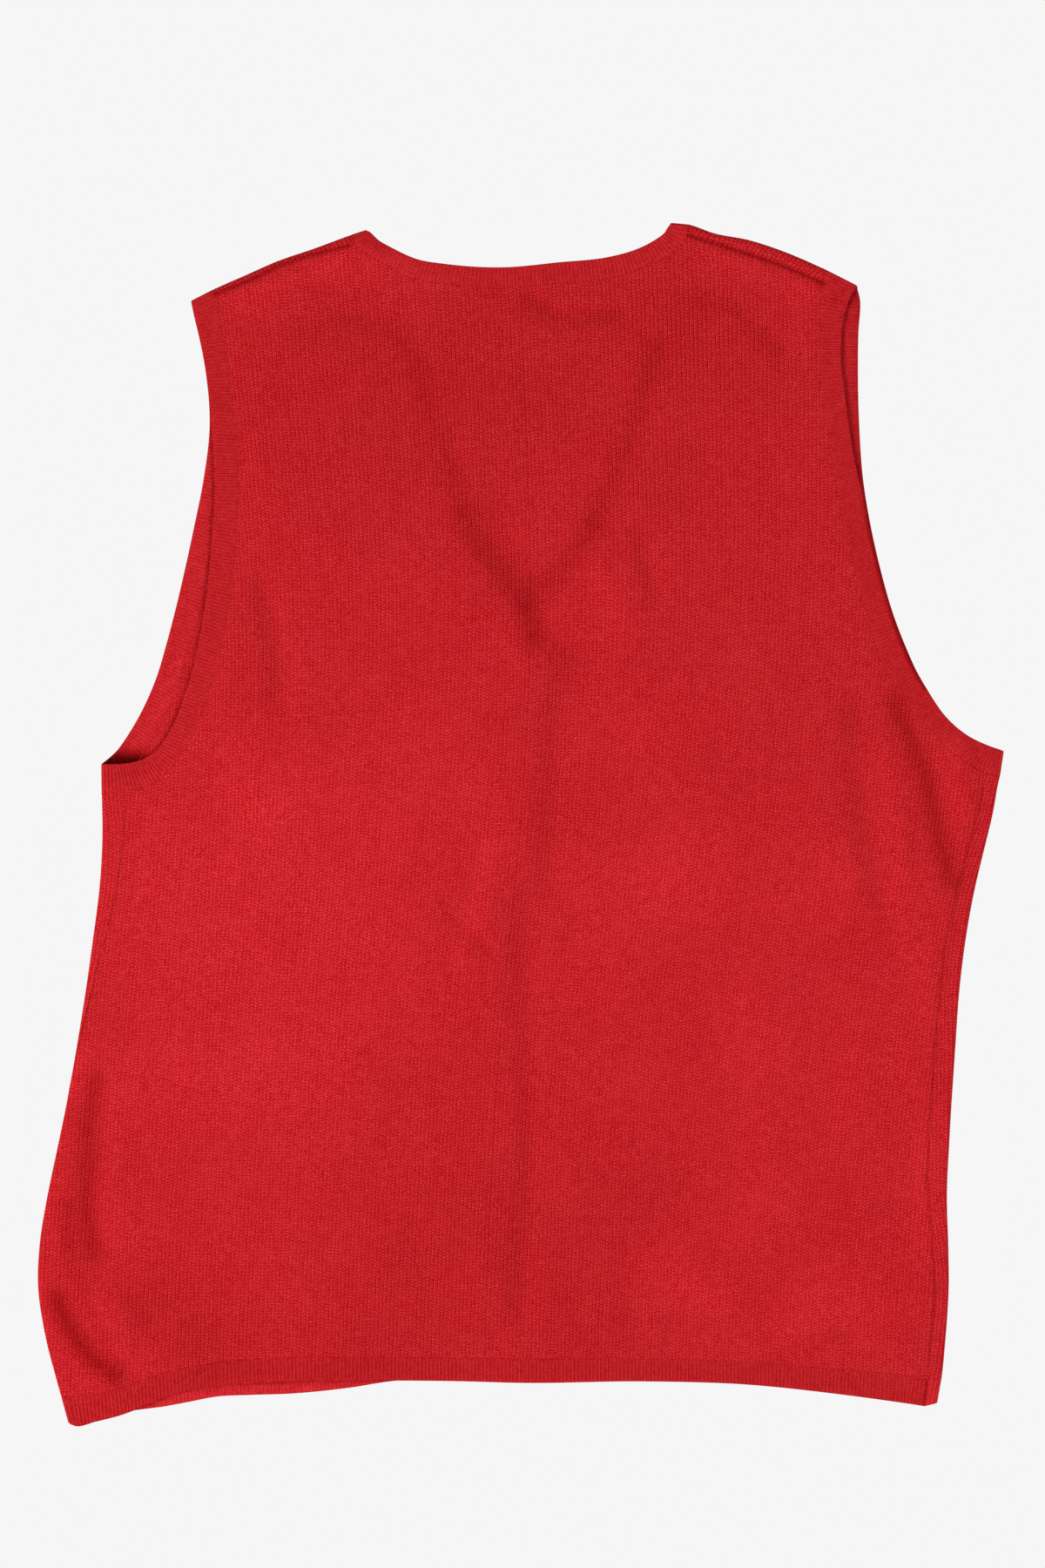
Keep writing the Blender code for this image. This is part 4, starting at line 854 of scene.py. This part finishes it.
def front_blocks():
    """Grids of the front: side and shoulder strips round the folds, torso and chest below."""
    rows = both_ends(*FRONT_ROWS)
    blocks = []
    for fold in (SIDE_LEFT, SIDE_RIGHT):
        blocks.append(fold.strip(None, 0.0, np.linspace(0, 1, SIDE_COLUMNS), rows))
        blocks.append(fold.strip(0.0, -FRONT_STRIP[0], graded(*FRONT_STRIP), rows))
    for fold in (SHOULDER_LEFT, SHOULDER_RIGHT):
        blocks.append(fold.strip(None, 0.0, np.linspace(0, 1, SHOULDER_COLUMNS), both_ends(*SHOULDER_ROWS)))
    left, right, start, stop = (blocks[k][0][:, -1] for k in (1, 3, 4, 5))
    neck_left, neck_right = (smooth_rows(table)[:, 2:] for table in (NECK_FRONT_LEFT, NECK_FRONT_RIGHT))
    v_left, v_right = part_of(neck_left, start[-1], neck_left[-1]), part_of(neck_right, neck_left[-1], stop[-1])
    return blocks + torso_and_chest(
        left, right, (HEM_FRONT, ARM_LEFT_FRONT, ARM_RIGHT_FRONT),
        join_lines(start, even(v_left, V_PITCH), even(v_right, V_PITCH), stop[::-1]),
        FRONT_CORNERS, FRONT_PITCH, 0.0)


# ---- bands
def fold_crossing(rows):
    """Where a band turns up from the fold it starts at: running lengths of free edge and seam at each turn."""
    run = lengths((rows[:, :2] + rows[:, 2:]) / 2)
    crossed = []
    for edge in (rows[:, :2], rows[:, 2:]):
        fold = min(FOLDS.values(), key=lambda f: abs(f.project(edge[:1])[0][0]))
        rising = np.maximum.accumulate(fold.project(edge)[0])
        stop = (rising > FOLD_LEFT).argmax()
        crossed.append(np.interp(FOLD_RADIUS * (1 - np.sin(TURNS)), rising[:stop], run[:stop]))
    return np.array(crossed)


def band_run(table, top, folded_end=True):
    """Dense stations of one run of a band, from a fold: edge x, y, seam x, y, turn.

    At a fold the free edge and the seam edge each turn at their own crossing
    of it, and the two fall into step again within STEP_IN.
    """
    rows = smooth_rows(table)
    run = lengths((rows[:, :2] + rows[:, 2:]) / 2)
    first = fold_crossing(rows)
    last = run[-1] - (fold_crossing(rows[::-1]) if folded_end else np.zeros((2, 1)))
    start, stop = first[:, -1].mean(), last[:, -1].mean()
    b = np.linspace(0, stop - start, max(3, round((stop - start) / RUN_STEP)))
    body = start + b + (first[:, -1:] - start) * (1 - smoothstep(b / STEP_IN))
    body += (last[:, -1:] - stop) * (1 - smoothstep((b[-1] - b) / STEP_IN))
    edge, seam = np.concatenate((first[:, :-1], body, last[:, :-1][:, ::-1]), axis=1)
    home = TURNS if top else math.pi - TURNS
    turn = np.concatenate((home[:-1], np.full(len(b), home[-1]), home[:last.shape[1] - 1][::-1]))
    return np.column_stack((at_run(rows[:, :2], run, edge), at_run(rows[:, 2:], run, seam), turn))


def neighbours(rows, closed):
    """The rows before and after each row, round the loop or held at the ends."""
    padded = np.concatenate((rows[-1:], rows, rows[:1]) if closed else (rows[:1], rows, rows[-1:]))
    return padded[:-2], padded[2:]


def band_surface(stations, closed, pitch):
    """Middle grid of a band, its normals and turns, the ribs counted along it, and its width."""
    run = lengths(place((stations[:, :2] + stations[:, 2:4]) / 2, stations[:, 4]))
    ribs = round(run[-1] / pitch)
    wanted = np.arange(ribs * RIB_STEPS) * run[-1] / (ribs * RIB_STEPS)
    if not closed:
        wanted = np.concatenate((END_STEPS, wanted[2:-1], run[-1] - END_STEPS[::-1]))
    edge, seam, turn = np.split(at_run(stations, run, wanted), (2, 4), axis=1)
    width = np.linalg.norm(seam - edge, axis=1, keepdims=True)
    across = (seam - edge) / width
    edge = edge + across * HALF
    seam = seam - across * (RIM_REACH - SEAM_LAP)
    turn = np.repeat(turn, BAND_COLUMNS, axis=1)
    grid = place(edge[:, None] + (seam - edge)[:, None] * BAND_SHARES[:, None], turn)
    before, after = neighbours(grid, closed)
    normal = unit(np.cross(after - before, np.gradient(grid, axis=1)))
    if (normal[..., 2] * -np.cos(turn)).sum() < 0:
        normal = -normal
    for _ in range(SOFTENING):
        before, after = neighbours(normal, closed)
        normal = unit(before + 2 * normal + after)
    return grid, normal, turn, wanted / (run[-1] / ribs), width


def band_mesh(stations, closed, pitch):
    """A ribbed wall: a closed profile carried along the band.

    The profile goes over the outer side, round the seam, back over the inner
    side and round the free edge, by grid column and angle off the band.  The
    outer side stands up in a ridge, |cos| ** 0.8, at every rib and the inner
    side in one between them, |sin| ** 0.8, so the wall keeps its thickness;
    on the bottom layer the ridges stop at the resting plane.
    """
    grid, normal, turn, phase, width = band_surface(stations, closed, pitch)
    last = BAND_COLUMNS - 1
    column = np.concatenate((np.arange(BAND_COLUMNS), [last] * 5, np.arange(last, -1, -1), [0] * 5))
    upright = np.full(BAND_COLUMNS, math.pi / 2)
    angle = np.concatenate((upright, RIM_ANGLES, -upright, RIM_ANGLES[::-1]))
    outer, inner = (np.abs(wave(math.pi * phase)) ** RIB_ROUND for wave in (np.cos, np.sin))
    low = (1 + np.cos(turn[:, 0])) / 2
    fade = np.interp(BAND_SHARES, RIB_FADE_AT, RIB_FADE)
    out_off = HALF + (RIB_CREST * outer - RIB_SINK - low * (RIB_CREST - RIB_SINK))[:, None] * fade
    in_off = HALF + (RIB_CREST * inner - RIB_SINK)[:, None] * fade
    offset = np.where(angle > 0, out_off[:, column], in_off[:, column]) * np.sin(angle)
    if not closed:
        taper = smoothstep(np.minimum(phase, phase[-1] - phase) * pitch / RIB_END_FADE)
        offset = offset * (RIB_END + (1 - RIB_END) * taper[:, None])
    reach = np.cos(angle) * np.where(column > 0, RIM_REACH, HALF)
    seam_way, edge_way = unit(grid[:, -1:] - grid[:, -2:-1]), unit(grid[:, :1] - grid[:, 1:2])
    way = np.where(column[:, None] > 0, seam_way, edge_way) * reach[:, None]
    points = (grid[:, column] + way + normal[:, column] * offset[..., None]).reshape(-1, 3)
    count, profile = len(grid), len(column)
    ring = np.arange(profile)
    rows = np.arange(count + closed) % count
    faces = grid_faces(rows[:, None] * profile + np.append(ring, 0))
    if (face_normals(points, faces[:1]) * normal[0, 0]).sum() < 0:
        faces, ring = faces[:, ::-1], ring[::-1]
    caps = [] if closed else [ring[::-1].tolist(), (ring + (count - 1) * profile).tolist()]
    knit = np.column_stack((np.repeat(phase, profile), (BAND_SHARES[column] * width).ravel() / COURSE))
    return points, faces.tolist() + caps, knit, np.tile(0.5 - angle / math.pi, count), grid, normal


def bands():
    """Stations of the five rib bands, whether each is a closed loop, and the pitch of its ribs."""
    neck = np.vstack((band_run(NECK_BACK, True), band_run(NECK_FRONT_RIGHT, False, False)[1:],
                      band_run(NECK_FRONT_LEFT, False, False)[-2::-1]))
    hem_low = np.vstack((band_run(HEM_FRONT, False), band_run(HEM_FRONT_WRAP, True, False)[1:]))
    hem_top = band_run(HEM_BACK, True, False)
    for stations, lap in ((hem_top, SEAM_LAP), (hem_low, -SEAM_LAP)):
        stations[0, 4] -= lap / FOLD_RADIUS
        stations[-1, [0, 2]] += lap
    arm_left, arm_right = (np.vstack((band_run(top, True), band_run(low, False)[-2::-1]))
                           for low, top in (ARM_LEFT, ARM_RIGHT))
    return {
        "armhole_band_left": (arm_left, True, 2.05), "armhole_band_right": (arm_right, True, 2.15),
        "neckband": (neck, True, 2.34),
        "hem_rib_back": (hem_top, False, 2.28), "hem_rib_front": (hem_low, False, 2.28),
    }


# ---- stitches
def band_stitches(grid, normal):
    """Centres, forward and outward directions of the stitches on both sides of a closed band's seam."""
    before, after = neighbours(grid[:, -1], True)
    spots = grid[:, -1] + unit(grid[:, -1] - grid[:, -2]) * (RIM_REACH - SEAM_LAP)
    forward, spots, outward = (rows[::STITCH_STEPS] for rows in (unit(after - before), spots, normal[:, -1]))
    rise = HALF - STITCH_SUNK - (outward[:, 2:] < 0) * (STITCH[2] - STITCH_SUNK)
    spots = np.vstack((spots + outward * rise, spots - outward * (HALF - STITCH_SUNK)))
    return spots, np.vstack((forward, forward)), np.vstack((outward, -outward))


def linking_stitches(seam, node, centres, forward, normal):
    """Short loops of yarn across a seam: each an ellipsoid of 5 by 3 faces, sunk into the cloth.

    Point = centre + length * cos(b) * cos(a) * across + width * cos(b) * sin(a) * forward
    + height * sin(b) * normal, with a round the ellipsoid and b from pole to pole.
    """
    a = np.tile(np.arange(5) * 0.4 * math.pi, 2)
    b = np.repeat((-math.pi / 7, math.pi / 7), 5)
    ring = np.column_stack((np.cos(a) * np.cos(b), np.sin(a) * np.cos(b), np.sin(b)))
    ball = np.vstack(((0, 0, -1), ring, (0, 0, 1))) * STITCH
    points = centres[:, None] + ball @ np.stack((unit(np.cross(forward, normal)), forward, normal), axis=1)
    points[..., 2] = np.maximum(points[..., 2], 0.0)
    k = np.arange(5)
    n = (k + 1) % 5
    caps = np.concatenate((np.column_stack((0 * k, 1 + n, 1 + k)), np.column_stack((0 * k + 11, 6 + k, 6 + n))))
    sides = np.column_stack((1 + k, 1 + n, 6 + n, 6 + k))
    base = np.arange(len(centres))[:, None, None] * 12
    faces = (base + caps).reshape(-1, 3).tolist() + (base + sides).reshape(-1, 4).tolist()
    flat = np.zeros(len(centres) * 12)
    knit = np.column_stack((np.repeat(np.arange(len(centres)), 12) * 0.5, flat))
    piece = make_piece(seam + "_linking", points.reshape(-1, 3), faces, knit, flat, link_yarn)
    return piece


# ---- materials
class Value:
    """A shader socket that adds, multiplies and bends like a number."""

    tree = None

    def __init__(self, socket):
        self.socket = socket

    @classmethod
    def node(cls, kind, sockets, output=0, **settings):
        """Any node: its type, the values or links of its sockets, and its settings."""
        made = cls.tree.nodes.new("ShaderNode" + kind)
        for key, value in settings.items():
            setattr(made, key, value)
        for key, value in sockets.items():
            if isinstance(value, Value):
                cls.tree.links.new(value.socket, made.inputs[key])
            else:
                made.inputs[key].default_value = value
        return cls(made.outputs[output]) if len(made.outputs) else None

    def math(self, operation, *others):
        return Value.node("Math", dict(enumerate((self, *others))), operation=operation)

    def __add__(self, other):
        return self.math("ADD", other)

    def __mul__(self, other):
        return self.math("MULTIPLY", other)

    def __sub__(self, other):
        return self.math("SUBTRACT", other)

    def __rsub__(self, other):
        return self * -1.0 + other

    def __pow__(self, other):
        return self.math("POWER", other)

    __radd__ = __add__
    __rmul__ = __mul__

    def ramp(self, low, high):
        """Smooth 0 to 1 between two values."""
        return Value.node("MapRange", {"Value": self, "From Min": low, "From Max": high},
                          interpolation_type="SMOOTHSTEP")


def noise(position, scale, detail, roughness=0.5):
    """Grey noise between -0.5 and 0.5."""
    sockets = {"Vector": position, "Scale": scale, "Detail": detail, "Roughness": roughness}
    return Value.node("TexNoise", sockets, noise_dimensions="3D") - 0.5


def new_material(name):
    """An empty node material, which the next nodes go into."""
    material = bpy.data.materials.new(name)
    material.use_nodes = True
    Value.tree = material.node_tree
    Value.tree.nodes.clear()
    return material


def yarn(name, rib):
    """Knitted yarn: loops in wales and courses, uneven from loop to loop.

    Across a wale s runs from -0.5 to 0.5, with the two legs of a loop at |s| = 0.25, and each
    wale stands half a course and a random shift off the next.  Loop height is |sin pi (course +
    wale / 2 + shift - |s|)| ** 0.6, times the leg profile |sin 2 pi s|; on a rib the ridge
    |cos pi wale| and its two lines |cos 2 pi wale| are added instead.  The height paints the
    colour darker where it is low, as painted shade, as well as making the bump.
    """
    material = new_material(name)
    place_at = Value.node("TexCoord", {}, output=3)
    split = Value.node("SeparateXYZ", {0: Value.node("UVMap", {}, uv_map="knit")})
    wale = split + noise(place_at, 330.0, 1.0) * WANDER_ACROSS + noise(place_at, 120.0, 2.0) * SWAY_ACROSS
    side = wale.math("FRACT") - 0.5
    shift = Value.node("TexWhiteNoise", {"W": (wale - side) * SHIFT_SEED}, noise_dimensions="1D")
    course = Value(split.socket.node.outputs[1]) + noise(place_at, 290.0, 1.0, 0.7) * WANDER_UP
    course = course + shift * SHIFT_UP + (wale - side) * (0.0 if rib else 0.5)
    leg = side.math("ABSOLUTE") * 2.0
    loop = ((course - leg * LEG_RISE) * math.pi).math("SINE").math("ABSOLUTE") ** LOOP_ROUND
    # Painted shade and painted light by point, from the mesh.
    painted = Value.node("Attribute", {}, output=2, attribute_name="painted_shade_and_tone")
    # Where the painted shade is deep, the ribs and the gaps between wales stand out more.
    least, most = DEEPEN_RANGE
    deepen = (painted * -CREASE_DEEPEN + 1.0).math("MAXIMUM", least).math("MINIMUM", most)
    if rib:
        ridge, twin = ((split * turn).math("COSINE").math("ABSOLUTE") - COSINE_MEAN for turn in (math.pi, 2 * math.pi))
        height = loop * RIB_LOOP + (ridge * RIB_DEPTH + twin * RIB_TWIN) * deepen + RIB_LEVEL
    else:
        # One leg of each loop is raised and so painted paler, as painted light from one side; the bump takes it too.
        lit = (side * (-2.0 * math.pi)).math("SINE") * LEG_LIT_SIDE + 1.0
        height = loop * ((leg * math.pi).math("SINE") * (1 - LEG_FLOOR) + LEG_FLOOR) * lit
    fluff = noise(place_at, 900.0, 3.0, 0.6)
    blotch = noise(place_at, 210.0, 2.0, 0.55)
    # Colour: loops painted darker where low, as painted shade, plus random tone of fluff, blotches and clouds.
    painted_shade_and_tone = height * LOOP_SHADE + fluff * TONE_FLUFF + blotch * TONE_BLOTCH + noise(place_at, 17.0, 3.0) * TONE_CLOUD
    if not rib:
        # Painted shade between the wales, deeper where the painted shade is deep.
        gap = (leg - 0.5).ramp(*GAP_RANGE)
        painted_shade_and_tone = painted_shade_and_tone - gap * GAP_SHADE - (gap - GAP_SHARE) * (deepen - 1.0) * GAP_SHADE_GROWTH
    colour = Value.node("ValToRGB", {0: painted_shade_and_tone.ramp(*TONE_RANGE)})
    stops = colour.socket.node.color_ramp.elements
    stops.new(0.5)
    for stop, shade in zip(stops, YARN_SHADES):
        stop.color = shade
    # Painted shade and painted light darken or pale the colour, green and blue more than red.
    share = painted + 1.0
    pale = (share ** PALE_DARK).math("MINIMUM", share ** PALE_LIGHT)
    share = Value.node("CombineXYZ", {0: share, 1: pale, 2: pale})
    colour = Value.node("VectorMath", {0: colour, 1: share}, operation="MULTIPLY")
    bump = Value.node("Bump", {"Strength": BUMP_STRENGTH, "Distance": BUMP_RIB if rib else BUMP_PANEL,
                               "Height": height + fluff * BUMP_FLUFF + blotch * BUMP_BLOTCH})
    shader = Value.node("BsdfPrincipled", {
        "Base Color": colour, "Roughness": 0.95, "Specular IOR Level": 0.025, "Sheen Weight": 0.02,
        "Sheen Roughness": 0.5, "Sheen Tint": (1.0, 0.55, 0.5, 1.0), "Normal": bump})
    Value.node("OutputMaterial", {"Surface": shader})
    return material


# ---- pieces
panel_yarn = yarn("plain_knit_yarn", False)
rib_yarn = yarn("rib_knit_yarn", True)
link_yarn = yarn("linking_yarn", True)

linked = {}
for node, blocks in (("back_panel", back_blocks()), ("front_panel", front_blocks())):
    make_piece(node + "_cloth", *panel_mesh(blocks), panel_yarn, node)
for node, (stations, closed, pitch) in bands().items():
    *shape, grid, normal = band_mesh(stations, closed, pitch)
    make_piece(node + "_cloth", *shape, rib_yarn, node)
    if closed:
        linked[node] = linking_stitches(node, node, *band_stitches(grid, normal))
for side, fold in FOLDS.items():
    linked[side] = linking_stitches(side, "front_panel", *fold.stitches())

# Cut of each knitted piece: flat width and length in metres, its area where it isn't a rectangle,
# what it lies on, and how it is held.
CUTS = {
    "front_panel": (0.567, 0.708, 0.285, (), "folded"),
    "back_panel": (0.553, 0.693, 0.295, ("front_panel_cloth",), "laid"),
    "armhole_band_left": (0.635, 0.0144, None, ("front_panel_cloth",), "folded"),
    "armhole_band_right": (0.6525, 0.0151, None, ("front_panel_cloth",), "folded"),
    "neckband": (0.751, 0.0118, None, ("front_panel_cloth",), "folded"),
    "hem_rib_front": (0.5345, 0.0142, None, (), "folded"),
    "hem_rib_back": (0.5195, 0.0145, None, ("hem_rib_front_cloth",), "laid"),
}
for node, (wide, tall, area, under, held) in CUTS.items():
    with_it = [linked[key] for key in (FOLDS if node == "front_panel" else (node,)) if key in linked]


# ---- stage
def stage_floor():
    """A wide pale sheet under the vest that glows a little, so that shadows stay faint."""
    material = new_material("pale_floor")
    glow = Value.node("Emission", {"Color": (FLOOR_GREY,) * 3 + (1.0,), "Strength": 1.0})
    Value.node("OutputMaterial", {"Surface": glow})
    mesh = bpy.data.meshes.new("floor")
    corners = [(x * FLOOR_REACH, y * FLOOR_REACH, FLOOR_HEIGHT) for x, y in ((-1, -1), (1, -1), (1, 1), (-1, 1))]
    mesh.from_pydata(corners, [], [(0, 1, 2, 3)])
    mesh.materials.append(material)
    new_object("floor", mesh)


def soft_light(name, position, size, watts):
    """A square soft light aimed at the middle of the vest."""
    lamp = bpy.data.lights.new(name, "AREA")
    lamp.shape = "SQUARE"
    lamp.size = size
    lamp.energy = watts
    light = new_object(name, lamp)
    light.location = x, y, z = position
    light.rotation_euler = (math.atan2(math.hypot(x, y), z), 0.0, math.atan2(x, -y))


stage_floor()
soft_light("key", (-2.0, -0.8, 1.9), 1.1, 58.0)
soft_light("fill", (2.0, 0.2, 2.2), 1.8, 34.0)
world = bpy.data.worlds.new("studio")
world.use_nodes = True
sky = world.node_tree.nodes["Background"].inputs
sky["Color"].default_value = (1.0, 1.0, 1.0, 1.0)
sky["Strength"].default_value = SKY_STRENGTH
bpy.context.scene.world = world
bpy.context.scene.view_settings.view_transform = "Standard"

lens = bpy.data.cameras.new("overhead")
lens.sensor_fit = "VERTICAL"
lens.sensor_height = 24.0
lens.lens = lens.sensor_height * CAMERA_HEIGHT / FRAME_TALL
lens.clip_end = 50.0
camera = new_object("overhead", lens)
camera.location = (*CAMERA_PLACE, CAMERA_HEIGHT + CAMERA_BASE)
bpy.context.scene.camera = camera
